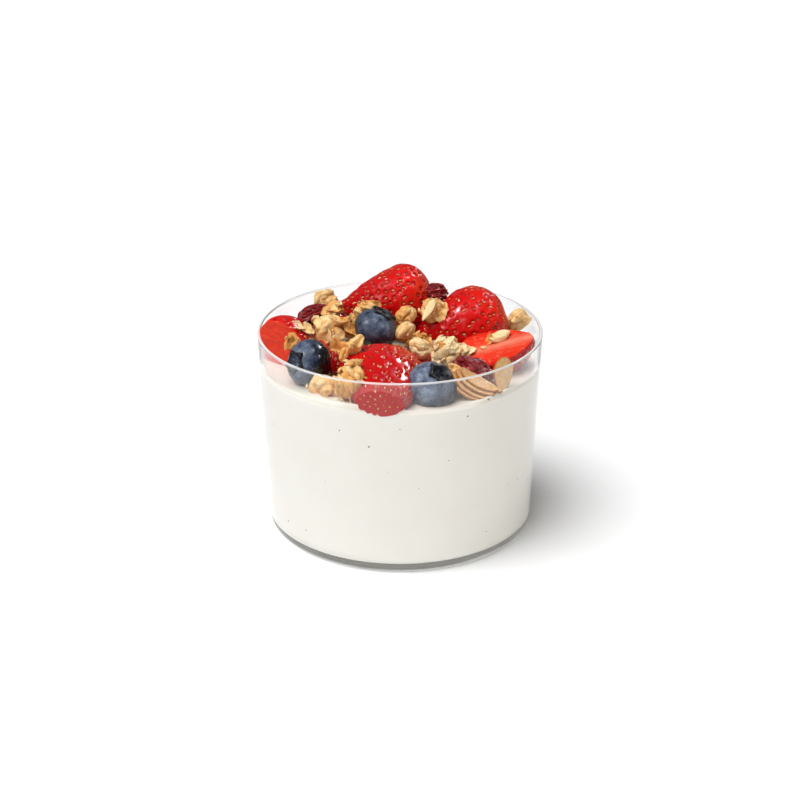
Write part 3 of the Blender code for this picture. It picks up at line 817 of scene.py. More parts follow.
# Each is (where its tip points, where its skin faces) and (length, width, taper, hull, cut, seed).
STRAWBERRIES = {
    "back": (((-1, 0.05, -0.22), (0, -0.7, 0.71)), (30, 20.4, 0.72, 1.0, 0, 1.0)),
    "right": (((-0.95, -0.2, -0.2), (-0.1, -0.4, 0.91)), (31, 23, 0.7, 1.6, 0, 2.2)),
    "front": (((0.02, -1, -0.01), (0, 0, 1)), (34, 25.4, 0.45, 1.0, 0, 3.1)),
    "open_right": (((0.95, 0.2, 0.2), (0.1, 0.2, -0.97)), (22, 19, 0.4, 0, -2, 4.5)),
    "open_left": (((0.8, -0.5, -0.33), (0.5, 0.85, 0)), (22, 17.5, 0.3, 0, -3, 5.3)),
    "small": (((0.9, 0.2, -0.1), (0, 0.2, -1)), (14, 11, 0.5, 0, 0, 0.4)),
    "low": (((0.8, -0.5, 0), (-0.1, -0.2, 1)), (16, 13, 0.5, 0, 0, 1.9)),
    "far": (((-0.9, -0.35, 0), (0, 0.1, 1)), (22, 17, 0.5, 1.0, 0, 6.2)),
}
# The front berry's cut is hidden in the yogurt, so it is rounded below as well.
ROUNDED = {"front": {"hold": ("low", "middle", "high"), "blunt": 0.58, "above": 0.78, "below": 0.52}}


def strawberries(skin, seed_material):
    """The cut berries, and all their seeds as one piece."""
    made, places = [], []
    for name, ((along, facing), form) in STRAWBERRIES.items():
        berry, seeds = cut_strawberry(name, along, facing, form, skin, **ROUNDED.get(name, {}))
        made.append(berry)
        places += seeds
    seeds = copies(nutlet(), places)
    move_points(seeds, press_on_glass(points_of(seeds), PRESSED + 0.03))
    dress(seeds, "strawberry_nutlets", [], seed_material)
    return made


# ---------------------------------------------------------------- blueberries

FLATNESS = 0.88
# The crown, by degrees above the waist: (radius, lift over the round skin, reach of the five points), in
# shares of the berry's radius.
CROWN = (
    (59, 0.50, 0.0, 0.0),
    (62, 0.50, 0.015, 0.2),
    (65, 0.47, 0.07, 0.24),
    (68, 0.42, 0.09, 0.1),
    (72, 0.37, 0.0, 0.0),
    (78, 0.31, -0.12, 0.0),
    (90, 0.0, -0.18, 0.0),
)
CROWN_POINTS = 5


def blueberry(name, up, seed, crown_size, bloom, material):
    """A round berry with its dry, five-pointed crown at its own +Z.

    bloom is (the way the waxiest side faces, least, most, how much of it lies in the crown's dish). The
    waxiest side is the palest and is turned towards the light, so its paleness is partly painted light.
    """
    node = "blueberry_" + name
    axes = own_axes(Vector(up).orthogonal(), up)
    low, high = own_box(node, axes)
    radius = (high - low)[:2].max() / 2
    berry = primitive("uv_sphere", segments=120, ring_count=96, radius=MM)
    unit = points_of(berry)
    polar = np.degrees(np.arcsin(np.clip(unit[:, 2], -1, 1)))
    around = np.arctan2(unit[:, 1], unit[:, 0])
    angles, radii, lifts, reaches = np.array(CROWN).T * crown_size
    angles += 90 * (1 - crown_size)  # a smaller crown is drawn in towards the pole
    in_crown = polar > angles[0]
    turn = (CROWN_POINTS * around / math.tau + seed) % 1
    pointed = (1 - np.abs(2 * turn - 1)) ** 1.3
    jagged = 1 + 0.3 * noise_at(unit * [9, 9, 0], 1.0, seed)
    reach = np.interp(polar, angles, reaches) * pointed * jagged
    spread = np.where(in_crown, np.interp(polar, angles, radii) + reach, np.cos(np.radians(polar)))
    lift = np.where(in_crown, np.interp(polar, angles, lifts), 0.0) * (1 + pointed)
    level = np.where(in_crown, FLATNESS * np.sqrt(1 - spread**2), FLATNESS * unit[:, 2]) + lift
    dent = 1 + 0.02 * noise_at(unit, 0.8, seed) + 0.004 * noise_at(unit, 0.12, seed)
    own = np.stack([spread * np.cos(around), spread * np.sin(around), level], 1) * radius
    own *= dent[:, None]
    shift = shift_onto(own, node, axes, ("middle", "middle", "low"))
    towards, least, most, dish = bloom
    towards = np.array(towards) / np.linalg.norm(towards)
    # Partly painted light: the bloom is palest on the side that faces the light.
    facing = (normals_of(berry) @ axes) @ towards
    mark(berry, "bloom", least + (most - least) * smooth_step(-0.6, 0.8, facing))
    inner, outer = 90 - 31 * crown_size, 90 - 18 * crown_size
    dished = 1 - dish * smooth_step(outer - 2, outer + 4, polar)
    mark(berry, "crown", smooth_step(inner - 1, inner + 2, polar) * dished)
    move_points(berry, press_on_glass((own + shift) @ axes))
    return dress(berry, node + "_with_bloom", [node], material)


def blueberries(material):
    """Each is the way its crown faces, its seed, its crown's size and its bloom."""
    placed = {
        "left": ((-0.72, -0.62, 0.3), 1.0, 0.8, ((-0.8, -0.2, 0.2), 0.0, 0.75, 0.9)),
        "middle": ((0.45, 0.1, 0.88), 2.0, 0.9, ((0, -0.3, 1), 0.25, 0.65, 0.3)),
        "front": ((0.36, -0.42, 0.83), 3.2, 0.74, ((-0.5, -0.2, 0.7), 0.4, 0.85, 0.1)),
        "far": ((-0.3, 0.5, 0.8), 4.0, 1.0, ((0, 0.4, 1), 0.45, 0.85, 0.3)),
    }
    return [blueberry(name, *how, material) for name, how in placed.items()]


# ---------------------------------------------------------------- dried cranberries


def cranberries(material):
    """Dried berries: folds run along each one's own X, and fine wrinkles over them."""
    placed = {
        "left": ((1, 0.3, 0.35), (0, -0.4, 1), 1.0),
        "back": ((1, 0.1, -0.05), (0, -0.3, 1), 2.0),
        "front": ((1, -0.25, -0.35), (0, -0.3, 1), 3.0),
    }
    made = []
    for name, (along, up, seed) in placed.items():
        node = "cranberry_" + name
        axes = own_axes(along, up)
        berry = primitive("ico_sphere", subdivisions=7, radius=MM)
        unit = points_of(berry)
        folds = np.array([noise.noise((x * 0.9 + seed, y * 2.2, z * 2.2)) for x, y, z in unit.tolist()])
        wrinkle = np.abs(noise_at(unit * [0.5, 1, 1], 0.28, seed))
        fine = np.abs(noise_at(unit, 0.1, seed + 5))
        shrunk = unit * (1 - 0.45 * np.abs(folds) - 0.13 * wrinkle - 0.03 * fine)[:, None]
        own = fitted(shrunk, *own_box(node, axes))
        mark(berry, "ridge", np.exp(-7 * wrinkle) * 0.7 + np.exp(-9 * fine) * 0.45)
        move_points(berry, press_on_glass(own @ axes))
        made.append(dress(berry, "dried_" + node, [node], material))
    return made


# ---------------------------------------------------------------- granola


def shape_of(obj):
    """A piece's points in mm and its faces. The piece itself is removed."""
    points = points_of(obj)
    faces = [tuple(polygon.vertices) for polygon in obj.data.polygons]
    bpy.data.objects.remove(obj)
    return points, faces


def assemble(name, parts):
    """One mesh of (points, faces, tone, crease) parts, in mm. Tone and crease are read by the oats; crease,
    how deep in its lump a point lies, is drawn browner and darker, partly baked colour and partly painted
    shade.
    """
    points, faces, tones, creases = [], [], [], []
    count = 0
    for own, own_faces, tone, crease in parts:
        points.append(own)
        faces += [tuple(v + count for v in face) for face in own_faces]
        tones.append(np.broadcast_to(tone, len(own)))
        creases.append(np.broadcast_to(crease, len(own)))
        count += len(own)
    mesh = bpy.data.meshes.new(name)
    mesh.from_pydata((np.concatenate(points) * MM).tolist(), [], faces)
    made = bpy.data.objects.new(name, mesh)
    bpy.context.scene.collection.objects.link(made)
    mark(made, "tone", np.concatenate(tones))
    mark(made, "crease", np.concatenate(creases))
    return made


def rolled_oat(seed, crinkle=0.15):
    """One flake of unit half-length: a thin, lobed, cupped disc with a crease along it, its own X."""
    made = primitive("uv_sphere", segments=40, ring_count=18, radius=MM)
    unit = points_of(made)
    around = np.arctan2(unit[:, 1], unit[:, 0])
    spread = np.hypot(unit[:, 0], unit[:, 1])
    edge = np.stack([np.cos(around), np.sin(around), 0 * around], 1)
    nicks = noise_at(edge, 0.4, seed) * 0.16 + noise_at(edge, 0.15, seed) * 0.08
    lobes = 1 + 0.1 * np.sin(2 * around + seed) + 0.07 * np.sin(3 * around + 1.7 * seed) + nicks
    crease = np.exp(-((unit[:, 1] / 0.12) ** 2))
    plane = unit * [1, 1, 0]
    crinkles = crinkle * (noise_at(plane, 0.55, seed) + 0.45 * np.abs(noise_at(plane, 0.3, seed + 3)))
    cup = 0.3 * spread**2 * (1 + 0.6 * np.sin(2 * around + 2.3 * seed))
    flat = unit * np.stack([lobes, 0.76 * lobes, np.full_like(lobes, 0.1)], 1)
    flat[:, 2] += cup + crinkles - 0.06 * crease + noise_at(unit, 0.14, seed) * 0.035
    move_points(made, flat)
    return shape_of(made)


def oat_kernel(seed, depth=0.16):
    """A puffed, folded lobe of unit half-length, with a groove along its belly."""
    made = primitive("uv_sphere", segments=32, ring_count=20, radius=MM)
    unit = points_of(made)
    groove = np.exp(-((unit[:, 1] / 0.2) ** 2)) * (unit[:, 2] > 0)
    bumps = 1 + 0.2 * noise_at(unit, 0.6, seed) + 0.08 * noise_at(unit, 0.25, seed)
    lobe = unit * bumps[:, None] * [1, 0.6, 0.5]
    lobe[:, 2] += 0.3 * unit[:, 0] ** 2 - depth * groove
    move_points(made, lobe)
    return shape_of(made)


def oat_curl(seed):
    """A thick strip that rolled up on itself while it baked, about 2 units long, its back at -Z."""
    made = primitive("uv_sphere", segments=36, ring_count=28, radius=MM, rotation=(0, math.pi / 2, 0))
    unit = points_of(made)
    bumps = 1 + 0.1 * noise_at(unit, 0.5, seed) + 0.04 * noise_at(unit, 0.18, seed)
    x, y, z = (unit * bumps[:, None]).T
    bulk = 0.38 / np.maximum(np.hypot(y, z), 0.2) ** 0.4
    groove = 0.12 * np.exp(-((y / 0.18) ** 2))
    from_hub = 0.7 - z * bulk * 0.85 - np.where(z < 0, groove, 0.0)
    angle = 1.3 * x
    rolled = np.stack([from_hub * np.sin(angle), y * bulk, 0.7 - from_hub * np.cos(angle)], 1)
    move_points(made, rolled)
    return shape_of(made)


def crumb_shape(seed):
    """A broken bit of baked oat, of unit half-length."""
    made = primitive("ico_sphere", subdivisions=2, radius=MM)
    unit = points_of(made)
    ragged = 1 + 0.6 * noise_at(unit, 0.6, seed) + 0.25 * noise_at(unit, 0.25, seed)
    move_points(made, unit * ragged[:, None] * [1.2, 0.8, 0.5])
    return shape_of(made)


# How a cluster is made up: the core's size, then for each shape (how many, size, how far out they sit, how
# much they lean), in shares of the cluster's half size.
CLUSTERS = {
    "sheet": (0.4, {"sheet": (4, 1.1, 0.42, 0.5), "oat": (3, 0.6, 0.72, 0.8), "crumb": (10, 0.13, 0.8, 1)}),
    "leafy": (0.3, {"sheet": (5, 1.1, 0.45, 0.5), "oat": (2, 0.55, 0.75, 0.8), "crumb": (8, 0.12, 0.8, 1)}),
    "flake": (0.2, {"sheet": (1, 1.5, 0.05, 0.15), "oat": (2, 0.55, 0.65, 0.5), "crumb": (6, 0.12, 0.7, 1)}),
    "crumbly": (
        0.55,
        {"oat": (16, 0.6, 0.6, 1.1), "kernel": (5, 0.45, 0.66, 0.8), "crumb": (18, 0.15, 0.85, 1)},
    ),
    "knobbly": (0.5, {"kernel": (8, 0.6, 0.56, 0.7), "oat": (4, 0.5, 0.7, 1), "crumb": (12, 0.13, 0.85, 1)}),
    "puffed": (0.45, {"lobe": (6, 0.75, 0.5, 0.6), "crumb": (3, 0.12, 0.8, 1)}),
    "curly": (0.55, {"curl": (3, 1.2, 0.35, 0.5), "crumb": (6, 0.1, 0.8, 1)}),
    "ridged": (0.5, {"curl": (5, 0.75, 0.5, 0.9), "kernel": (5, 0.5, 0.6, 0.8), "crumb": (5, 0.12, 0.8, 1)}),
}
# The clusters whose flakes stand out from the CAD solid, and how far.
GROWN = {"peak": 1.3, "rim_left": 0.7, "rim_right": 1.0, "right": 0.5}


def around_core(count, turn):
    """Directions spread evenly over a sphere, from its top down."""
    rise = 1 - 2 * np.arange(count) / max(count, 2)
    angle = np.arange(count) * GOLDEN_ANGLE + turn
    level = np.sqrt(1 - rise * rise)
    return np.stack([level * np.cos(angle), level * np.sin(angle), rise], 1)


def oat_cluster(name, along, up, kind, seed, tone, kit, material):
    """Flakes and crumbs baked round a core into a lump that fills the CAD solid's box, or grows out of it."""
    node = "granola_" + name
    axes = own_axes(along, up)
    low, high = own_box(node, axes)
    low, high = low - GROWN.get(name, 0.0), high + GROWN.get(name, 0.0)
    half = (high - low) / 2
    core_size, layers = CLUSTERS[kind]
    random = np.random.default_rng(int(seed * 10))
    core, faces = kit["core"][0]
    lumps = 1 + 0.2 * noise_at(core, 0.55, seed) + 0.1 * noise_at(core, 0.2, seed)
    # The core lies deep in the lump, so it is drawn browner and darker: partly painted shade.
    parts = [(core * lumps[:, None] * half * core_size, faces, tone + 0.1, 0.3)]
    for shape, (count, share, reach, lean) in layers.items():
        for i, out in enumerate(around_core(count, seed)):
            tilt = np.array([math.sin(3 * i + seed), math.cos(5 * i + seed), math.sin(7 * i)]) * lean
            turn = own_axes(np.array(Vector(out).orthogonal()) + tilt / 3, -out - tilt)
            scale = half.mean() * share * random.uniform(0.75, 1.1)
            points, faces = kit[shape][(i + int(seed)) % len(kit[shape])]
            own = points * scale @ turn + out * half * reach
            # How deep inside the lump a piece lies is its crease mark, drawn browner and darker: partly
            # painted shade.
            depth = 1 - np.clip(np.linalg.norm(own / half, axis=1), 0, 1)
            parts.append((own, faces, tone + random.uniform(-0.15, 0.15), depth * 0.7))
    made = assemble(name, parts)
    own = fitted(points_of(made), low, high)
    move_points(made, press_on_glass(own @ axes))
    return dress(made, "baked_" + node, [node], material)


# Each is (long way, up), its kind, its seed and how well baked it is, from 0, pale, to 1, brown.
GRANOLA = {
    "ball": (((1, 0, 0), (0, 0, 1)), "ridged", 0.3, 0.3),
    "left_top": (((1, 0, -0.1), (0, -0.4, 1)), "leafy", 1.3, 0.4),
    "left": (((1, 0.1, 0.1), (0, -0.5, 1)), "sheet", 2.6, 0.4),
    "left_low": (((0.3, 0.1, 1), (0, -0.5, 1)), "leafy", 2.8, 0.6),
    "curl": (((1, 0, 0.6), (0, -0.6, 1)), "flake", 3.7, 0.65),
    "middle": (((1, 0, -0.2), (0, -0.4, 1)), "leafy", 4.4, 0.45),
    "knot": (((1, 0, 0.3), (0, -0.4, 1)), "puffed", 5.2, 0.5),
    "puff_top": (((1, 0, -0.2), (0, -0.5, 1)), "curly", 6.6, 0.25),
    "puff_low": (((0.6, -0.3, -0.8), (0, -0.6, 1)), "puffed", 7.1, 0.2),
    "chip": (((1, 0, 0.5), (0, -0.9, 0.6)), "flake", 8.2, 0.3),
    "peak": (((0.1, 0.25, 1), (0, -1, 0.2)), "crumbly", 9.4, 0.45),
    "rim_left": (((1, -0.45, 0.05), (0, -0.4, 1)), "knobbly", 10.3, 0.4),
    "crumbly": (((1, 0, 0.1), (0, -0.4, 1)), "crumbly", 11.6, 0.35),
    "right": (((1, 0, -0.3), (0, -0.4, 1)), "crumbly", 12.9, 0.0),
    "rim_right": (((1, 0.1, 0.3), (0, -0.8, 0.7)), "flake", 13.2, 0.2),
    "under_left": (((1, 0, 0), (0, 0, 1)), "sheet", 14.5, 0.5),
    "under_middle": (((1, 0.3, 0), (0, 0, 1)), "sheet", 15.7, 0.6),
    "under_right": (((1, -0.3, 0), (0, 0, 1)), "crumbly", 17.1, 0.5),
    "under_edge": (((1, 0, 0), (0, 0, 1)), "crumbly", 18.6, 0.5),
    "far": (((1, -0.2, 0), (0, 0, 1)), "sheet", 16.4, 0.4),
    "far_left": (((0.6, 1, 0), (0, 0, 1)), "crumbly", 19.3, 0.4),
    "far_right": (((0.5, -1, 0), (0, 0, 1)), "sheet", 20.8, 0.4),
}


def granola(material):
    """All the clusters, from one kit of flakes, crumbs and a core."""
    kit = {
        "oat": [rolled_oat(seed) for seed in (0.4, 1.9, 3.3)],
        "sheet": [rolled_oat(seed, 0.3) for seed in (0.9, 2.7, 4.1, 5.2)],
        "kernel": [oat_kernel(seed) for seed in (0.3, 1.2, 2.8)],
        "lobe": [oat_kernel(seed, 0.04) for seed in (0.8, 1.9, 3.1)],
        "curl": [oat_curl(seed) for seed in (0.6, 1.7, 2.4)],
        "crumb": [crumb_shape(seed) for seed in (0.5, 1.5)],
        "core": [shape_of(primitive("ico_sphere", subdivisions=4, radius=MM))],
    }
    made = [
        oat_cluster(name, along, up, kind, seed, tone, kit, material)
        for name, ((along, up), kind, seed, tone) in GRANOLA.items()
    ]
    return made, kit


# ---------------------------------------------------------------- almonds

# Each is its offset from its node's middle, (point towards, face towards), (length, width, thickness, bend)
# and how pale it is.
ALMONDS = {
    "upright": ((0, 0, 0), ((-0.1, -0.2, -1), (0.5, -0.8, 0.2)), (10.5, 5.6, 1.1, 0.4), 0.12),
    "fan_1": ((0.3, 0, -0.3), ((0.75, -0.2, -0.5), (0.42, -0.1, 0.9)), (12.5, 4.6, 0.9, 1.3), 0.1),
    "fan_2": ((0.6, 0.2, -0.4), ((0.8, -0.1, -0.42), (0.4, -0.35, 0.85)), (11, 4.6, 0.9, 1.0), 0.3),
    "fan_3": ((1.5, 0.6, 0.5), ((0.77, -0.15, -0.48), (0.4, -0.1, 0.9)), (12.5, 4.8, 0.9, 1.2), 0.2),
    "fan_4": ((-1.0, -0.4, -0.9), ((0.7, -0.25, -0.5), (0.42, -0.05, 0.9)), (10.5, 4, 0.9, 1.2), 0.2),
    "fan_5": ((2.8, 1.2, 1.1), ((0.78, -0.12, -0.45), (0.4, -0.2, 0.9)), (12, 4.8, 0.9, 1.1), 0.0),
    "sliver": ((-1.0, -3.6, 1.4), ((-0.5, -0.3, -0.8), (-0.1, -0.85, 0.5)), (7.2, 2.3, 1.0, 0.1), 1.0),
}
# The slices without a node of their own, and the node that each lies beside.
BESIDE = {
    "fan_3": "almond_fan_1",
    "fan_4": "almond_fan_1",
    "fan_5": "almond_fan_1",
    "sliver": "granola_crumbly",
}


def almonds(material):
    """Flaked almonds: thin pointed ovals with softly rounded edges."""
    made = []
    for name, (offset, (along, facing), (length, width, thickness, bend), pale) in ALMONDS.items():
        node = BESIDE.get(name, "almond_" + name)
        axes = own_axes(along, facing)
        flake = primitive("circle", vertices=64, radius=MM, fill_type="NGON")
        with editing(flake):
            for step in (0.05, 0.12, 0.2, 0.25):
                bpy.ops.mesh.inset(thickness=step * MM)
            bpy.ops.mesh.poke()
        modify(flake, "SOLIDIFY", thickness=thickness * MM, offset=0.0)
        own = points_of(flake)
        x, y, z = own.T
        spread = np.hypot(x, y)
        narrow = 1 - 0.28 * x - 0.1 * x * x
        mark(flake, "edge", smooth_step(0.93, 0.99, spread))
        mark(flake, "pale", np.full(len(own), pale))
        thin = 1 - 0.45 * smooth_step(0.85, 1.0, spread)
        wave = 0.12 * noise_at(own * [1, 1, 0], 0.5, len(name))
        shaped = np.stack([x * length / 2, y * width / 2 * narrow, z * thin + bend * x * x + wave], 1)
        shift = shift_onto(shaped, node, axes, ("middle", "middle", "middle"))
        move_points(flake, press_on_glass((shaped + shift) @ axes + offset))
        replaced = [] if name in BESIDE else [node]
        made.append(dress(flake, "sliced_almond_" + name, replaced, material))
    return made


# ---------------------------------------------------------------- loose oats

# Each is its middle, (long way, up), its shape, half its length and how well baked it is.
LOOSE_OATS = (
    ((28.5, -6.2, 60.2), ((6.2, 3.3, 1.75), (-0.16, -0.21, 0.96)), "kernel", 3.2, 0.15),
    ((-29.6, -8.2, 64.0), ((1, 0.1, -0.25), (0.25, -0.35, 0.9)), "oat", 2.2, 0.2),
    ((-26.4, -7.6, 62.9), ((0.8, -0.3, -0.5), (0.45, -0.4, 0.8)), "sheet", 2.3, 0.3),
    ((17.6, -12.6, 58.8), ((1, 0.6, 0.15), (0.1, -0.5, 0.85)), "sheet", 2.2, 0.1),
    ((19.4, -11.8, 58.0), ((0.7, 0.8, 0.2), (0.2, -0.5, 0.85)), "oat", 2.1, 0.1),
    ((15.2, -26.2, 58.2), ((0.75, -0.2, -0.5), (-0.1, -0.6, 0.8)), "sheet", 2.3, 0.4),
    ((-15.6, -23.6, 62.0), ((0.35, 0.2, 1), (0.2, -0.9, 0.3)), "kernel", 2.2, 0.5),
    ((-13.6, -4.4, 61.4), ((0.9, 0.1, -0.5), (0, -0.6, 0.8)), "oat", 2.6, 0.6),
    ((-16.8, -13.5, 59.8), ((1, 0.2, -0.3), (0.1, -0.6, 0.8)), "sheet", 3.6, 0.8),
    ((-0.6, -2.6, 59.6), ((1, 0.1, 0.2), (0, -0.7, 0.7)), "sheet", 3.4, 0.8),
    # the bed under the two big berries at the back, seen from behind
    ((-13.5, 13.0, 54.2), ((1, 0.5, 0.1), (0.1, 0.4, 1)), "lobe", 3.8, 0.5),
    ((-9.5, 14.0, 54.0), ((0.6, -1, 0.2), (0.2, 0.6, 0.9)), "sheet", 3.4, 0.3),
    ((-6.0, 11.8, 54.6), ((1, -0.4, 0.2), (-0.1, 0.5, 1)), "lobe", 4.0, 0.3),
    ((-1.5, 13.4, 54.0), ((1, 0.8, 0.3), (-0.3, 0.7, 0.8)), "sheet", 3.5, 0.6),
    ((1.5, 11.5, 54.6), ((0.8, 1, 0), (0.1, 0.3, 1)), "lobe", 4.0, 0.4),
    ((6.5, 13.2, 54.2), ((1, -0.2, 0.3), (0.2, 0.8, 0.8)), "sheet", 3.5, 0.2),
    ((9.5, 11.0, 54.4), ((1, 0.3, -0.1), (0, 0.4, 1)), "lobe", 3.8, 0.5),
    ((14.5, 13.0, 54.2), ((0.7, -1, 0.2), (0.3, 0.6, 0.9)), "sheet", 3.4, 0.4),
    ((18.0, 11.0, 54.4), ((1, -0.7, 0), (0.2, 0.4, 1)), "lobe", 3.6, 0.3),
    ((22.5, 11.5, 54.0), ((1, 0.6, 0.2), (0.1, 0.6, 0.9)), "sheet", 3.2, 0.5),
)
BARE = (-5.5, -24.0, 13.0)  # the front strawberry: its middle and how near it nothing loose lies
CRUMBS = 90
CRUMB_SIZES = (0.3, 0.8)  # half the length of the smallest and of the largest
SMALL_FLAKES = 26
FLAKE_SIZES = (1.4, 2.4)
HEAP_RADIUS = 32
OVER_ALL = 90.0  # loose bits fall from this height
GAP_TOP = 61.0  # into the gaps between the fruit, which are lower than this


def surface_tree(pieces):
    """One BVH tree of several pieces, in mm."""
    points, faces, count = [], [], 0
    for piece in pieces:
        own = points_of(piece)
        points += own.tolist()
        faces += [tuple(v + count for v in polygon.vertices) for polygon in piece.data.polygons]
        count += len(own)
    return BVHTree.FromPolygons(points, faces)


def loose_oats(kit, settled, material):
    """Single flakes on the fruit, and small flakes and crumbs in the gaps between all that has settled."""
    parts = []
    for i, (middle, (along, up), shape, half, tone) in enumerate(LOOSE_OATS):
        points, faces = kit[shape][i % len(kit[shape])]
        parts.append((points * half @ own_axes(along, up) + middle, faces, tone, 0.1))
    tree = surface_tree(settled)
    random = np.random.default_rng(11)
    for i in range(CRUMBS + SMALL_FLAKES):
        shape, sizes = ("crumb", CRUMB_SIZES) if i < CRUMBS else ("oat", FLAKE_SIZES)
        half = random.uniform(*sizes)
        angle = random.uniform(0, math.tau)
        spread = random.uniform(2, HEAP_RADIUS)
        above = Vector((spread * math.cos(angle), spread * math.sin(angle), OVER_ALL))
        hit, normal, _, _ = tree.ray_cast(above, Vector((0, 0, -1)))
        level = YOGURT_LEVEL if hit is None else hit.z
        up = np.array([0, 0, 1.0]) if hit is None else np.array(normal)
        if level > GAP_TOP or math.hypot(above.x - BARE[0], above.y - BARE[1]) < BARE[2]:
            continue
        points, faces = kit[shape][i % len(kit[shape])]
        axes = own_axes(random.normal(size=3) + [0.01, 0, 0], up + random.normal(scale=0.2, size=3))
        own = points * half @ axes + [above.x, above.y, level + 0.2]
        parts.append((own, faces, random.uniform(0.1, 0.8), 0.2))
    made = assemble("loose_oats", parts)
    move_points(made, press_on_glass(points_of(made)))
    return dress(made, "loose_baked_oats", [], material)


# ---------------------------------------------------------------- the yogurt


NEAR = 6.0  # pieces further than that from a point don't reach it with creep or juice
CREEP_FADE = 0.7  # how far from a piece the creep and the juice have faded to about a third
JUICE_FADE = 0.9
JUICE = 0.55


def gap_to(tree, points, most=NEAR):
    """How far each point is from the pieces of the tree, up to most."""
    found = [tree.find_nearest(p, most)[3] for p in points.tolist()]
    return np.array([most if gap is None else gap for gap in found])


def yogurt_wave(x, y):
    """Two crossing swells, the longer one stronger."""
    return YOGURT_WAVE * (np.sin(x / 9 + 0.6) * np.cos(y / 11) - 0.4 * np.sin(y / 6 + x / 14))


def spooned_yogurt(fruit, grains, material):
    """The fill: a tapered cylinder that reaches just into the glass, its top creeping up glass and fruit."""
    floor = FLOOR - INTO_WALL
    shoulder = YOGURT_LEVEL - SHOULDER
    foot, side, edge = (inner_radius(height) + INTO_WALL for height in (FLOOR, shoulder, YOGURT_LEVEL))
    yogurt = tapered_cylinder(floor, shoulder, foot, side, YOGURT_SIDES)
    wider = edge / side
    with editing(yogurt, "DESELECT"):
        pick(yogurt, "FACE", cap(shoulder))
        bpy.ops.mesh.extrude_region_move(TRANSFORM_OT_translate={"value": (0, 0, SHOULDER * MM)})
        bpy.ops.transform.resize(value=(wider, wider, 1))
        pick(yogurt, "EDGE", ring(foot, floor))
        bpy.ops.mesh.bevel(offset=INNER_ROUND * MM, segments=8)
        pick(yogurt, "FACE", cap(YOGURT_LEVEL))
        for _ in range(MENISCUS_RINGS):
            bpy.ops.mesh.inset(thickness=MENISCUS / MENISCUS_RINGS * MM)
        for _ in range(TOP_RINGS):
            bpy.ops.mesh.inset(thickness=TOP_RING * MM)
        bpy.ops.mesh.poke()
    points = points_of(yogurt)
    top = points[:, 2] > YOGURT_LEVEL - CLOSE
    x, y, _ = points[top].T
    near_glass = smooth_step(edge - MENISCUS, edge, np.hypot(x, y)) ** 2
    points[top, 2] += yogurt_wave(x, y) + YOGURT_CREEP * near_glass
    to_fruit = gap_to(surface_tree(fruit), points[top])
    to_grain = gap_to(surface_tree(grains), points[top])
    points[top, 2] += FRUIT_CREEP * np.exp(-np.minimum(to_fruit, to_grain) / CREEP_FADE)
    juice = np.zeros(len(points))
    juice[top] = JUICE * np.exp(-to_fruit / JUICE_FADE)
    mark(yogurt, "juice", juice)
    move_points(yogurt, points)
    return dress(yogurt, "spooned_yogurt", ["yogurt"], material)


SPECKS = 36
SPECK_SIZE = (0.22, 0.16, 0.05)  # half of it
LOWEST_SPECK = 6.0
HIGHEST_SPECK = YOGURT_LEVEL - 3


def vanilla_specks(material):
    """Specks of vanilla against the glass, as small flat beads."""
    random = np.random.default_rng(4)
    speck = primitive("ico_sphere", subdivisions=2, radius=MM)
    move_points(speck, points_of(speck) * SPECK_SIZE)
    places = []
    for i in range(SPECKS):
        angle = i * GOLDEN_ANGLE
        height = random.uniform(LOWEST_SPECK, HIGHEST_SPECK)
        out = np.array([math.sin(angle), -math.cos(angle), 0.0])
        spin = random.normal(size=3)
        axes = own_axes(spin, out) * random.uniform(0.7, 1.7)
        places.append((axes, out * (inner_radius(height) + INTO_WALL) + [0, 0, height]))
    specks = copies(speck, places)
    return dress(specks, "vanilla_specks", [], material)


# ---------------------------------------------------------------- studio


def light(name, at, towards, size, watts):
    """A square softbox, in metres."""
    lamp = bpy.data.lights.new(name, "AREA")
    lamp.size = size
    lamp.energy = watts
    made = bpy.data.objects.new(name, lamp)
    made.location = at
    made.rotation_euler = (Vector(towards) - Vector(at)).to_track_quat("-Z", "Y").to_euler()
    bpy.context.scene.collection.objects.link(made)
    return made


FLOOR_SIZE = 12.0
ROOM_LIGHT = 0.05  # how bright the white room is where it only lights things,
ROOM_GLOSS = 0.16  # where fruit and yogurt mirror it,
ROOM_SEEN = 0.95  # and where it is seen, straight or in the glass
LIGHT_BOUNCES = 48  # light is turned many times inside the glass's lip before it leaves it
CAMERA_LIFT = math.radians(24.12)  # how far above the table the camera stands, seen from the glass,
CAMERA_DIP = math.radians(23.447)  # and how far down it looks
CAMERA_REACH = 0.6
CAMERA_LENS = 91.6
SUN_STRENGTH = 3.9
SUN_WAY = (0.325, 0.212, -0.909)  # from the left and a little from the front, high up
SUN_SPREAD = math.radians(47)  # as wide as a large diffuser, so that shadows are soft


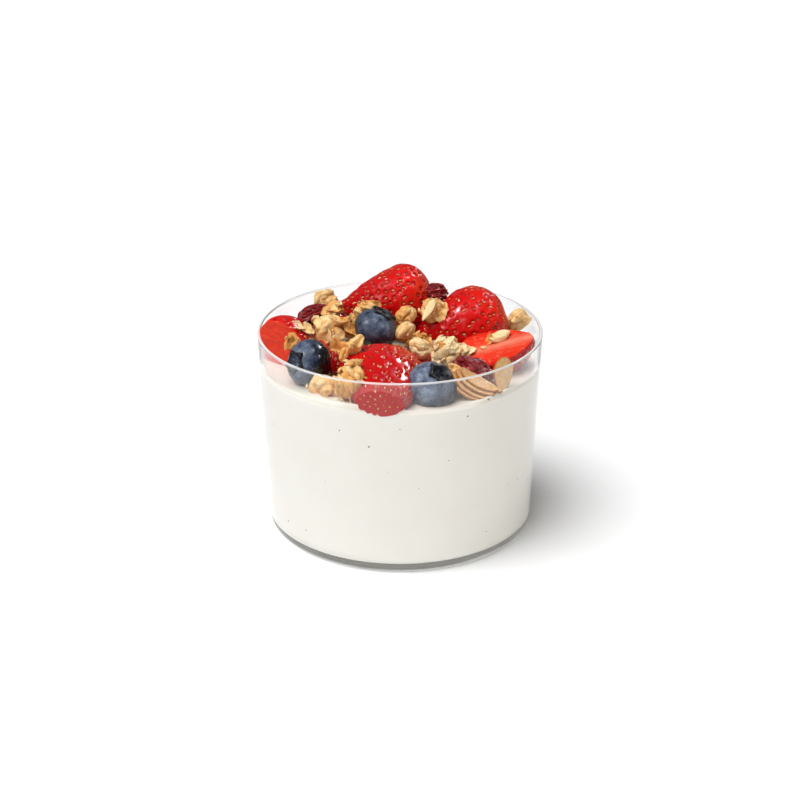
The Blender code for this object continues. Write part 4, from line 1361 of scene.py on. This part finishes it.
def studio():
    """A white floor and room, a soft sun, two fills, small softboxes that only gloss shows, and a camera."""
    floor = primitive("plane", size=FLOOR_SIZE)
    floor.name = "studio_floor"
    floor.data.materials.append(matt_board())

    world = bpy.data.worlds.new("white_room")
    world.use_nodes = True
    tree = world.node_tree
    sky = tree.nodes["Background"]
    sky.inputs["Color"].default_value = linear("#FFFFFF")
    path = add(tree, "LightPath").outputs
    seen = add(tree, "Math", {0: path["Is Camera Ray"], 1: path["Is Singular Ray"]}, operation="MAXIMUM")
    unseen = add(
        tree,
        "MapRange",
        {"Value": path["Is Glossy Ray"], "To Min": ROOM_LIGHT, "To Max": ROOM_GLOSS},
    )
    strength = add(tree, "Mix", {0: seen.outputs[0], 2: unseen.outputs[0], 3: ROOM_SEEN}, data_type="FLOAT")
    tree.links.new(strength.outputs[0], sky.inputs["Strength"])
    bpy.context.scene.world = world
    bpy.context.scene.view_settings.view_transform = "Standard"

    key = bpy.data.lights.new("key", "SUN")
    key.energy = SUN_STRENGTH
    key.angle = SUN_SPREAD
    made = bpy.data.objects.new("key", key)
    made.rotation_euler = Vector(SUN_WAY).to_track_quat("-Z", "Y").to_euler()
    made.visible_glossy = False
    bpy.context.scene.collection.objects.link(made)
    middle = (0, 0, 0.05)
    for name, at, size, watts, colour in (
        ("front_fill", (-0.2, -1.1, 0.35), 0.6, 1.1, "#FFFFFF"),
        ("right_fill", (0.9, -0.7, 0.12), 0.4, 2.4, "#FFF6E8"),
    ):
        lamp = light(name, at, middle, size, watts)
        lamp.visible_glossy = False
        lamp.data.color = linear(colour)[:3]
    for name, at, size, watts in (
        ("left_softbox", (-0.5, -0.12, 0.6), 0.1, 2.4),
        ("right_back_softbox", (0.4, 0.45, 0.6), 0.12, 2.4),
        ("right_softbox", (0.5, -0.3, 0.6), 0.07, 1.0),
        ("top_softbox", (0.02, -0.1, 0.8), 0.08, 1.2),
        ("low_window", (-0.75, -0.55, 0.35), 0.25, 1.0),
    ):
        light(name, at, middle, size, watts).visible_diffuse = False

    lens = bpy.data.cameras.new("camera")
    lens.lens = CAMERA_LENS
    camera = bpy.data.objects.new("camera", lens)
    level = GLASS_HEIGHT / 2 * MM
    camera.location = (0, -math.cos(CAMERA_LIFT) * CAMERA_REACH, level + math.sin(CAMERA_LIFT) * CAMERA_REACH)
    camera.rotation_euler = (math.radians(90) - CAMERA_DIP, 0, 0)
    bpy.context.scene.collection.objects.link(camera)
    bpy.context.scene.camera = camera
    bpy.context.scene.cycles.max_bounces = LIGHT_BOUNCES
    bpy.context.scene.cycles.transmission_bounces = LIGHT_BOUNCES


# ---------------------------------------------------------------- the parfait

pressed_tumbler(soda_lime_glass())
fruit = strawberries(strawberry_fruit(), strawberry_seed())
fruit += blueberries(blueberry_skin())
fruit += cranberries(dried_cranberry())
oats = baked_oats()
grains, kit = granola(oats)
grains += almonds(flaked_almond())
loose_oats(kit, fruit + grains, oats)
spooned_yogurt(fruit, grains, set_yogurt())
vanilla_specks(vanilla_seed())
studio()
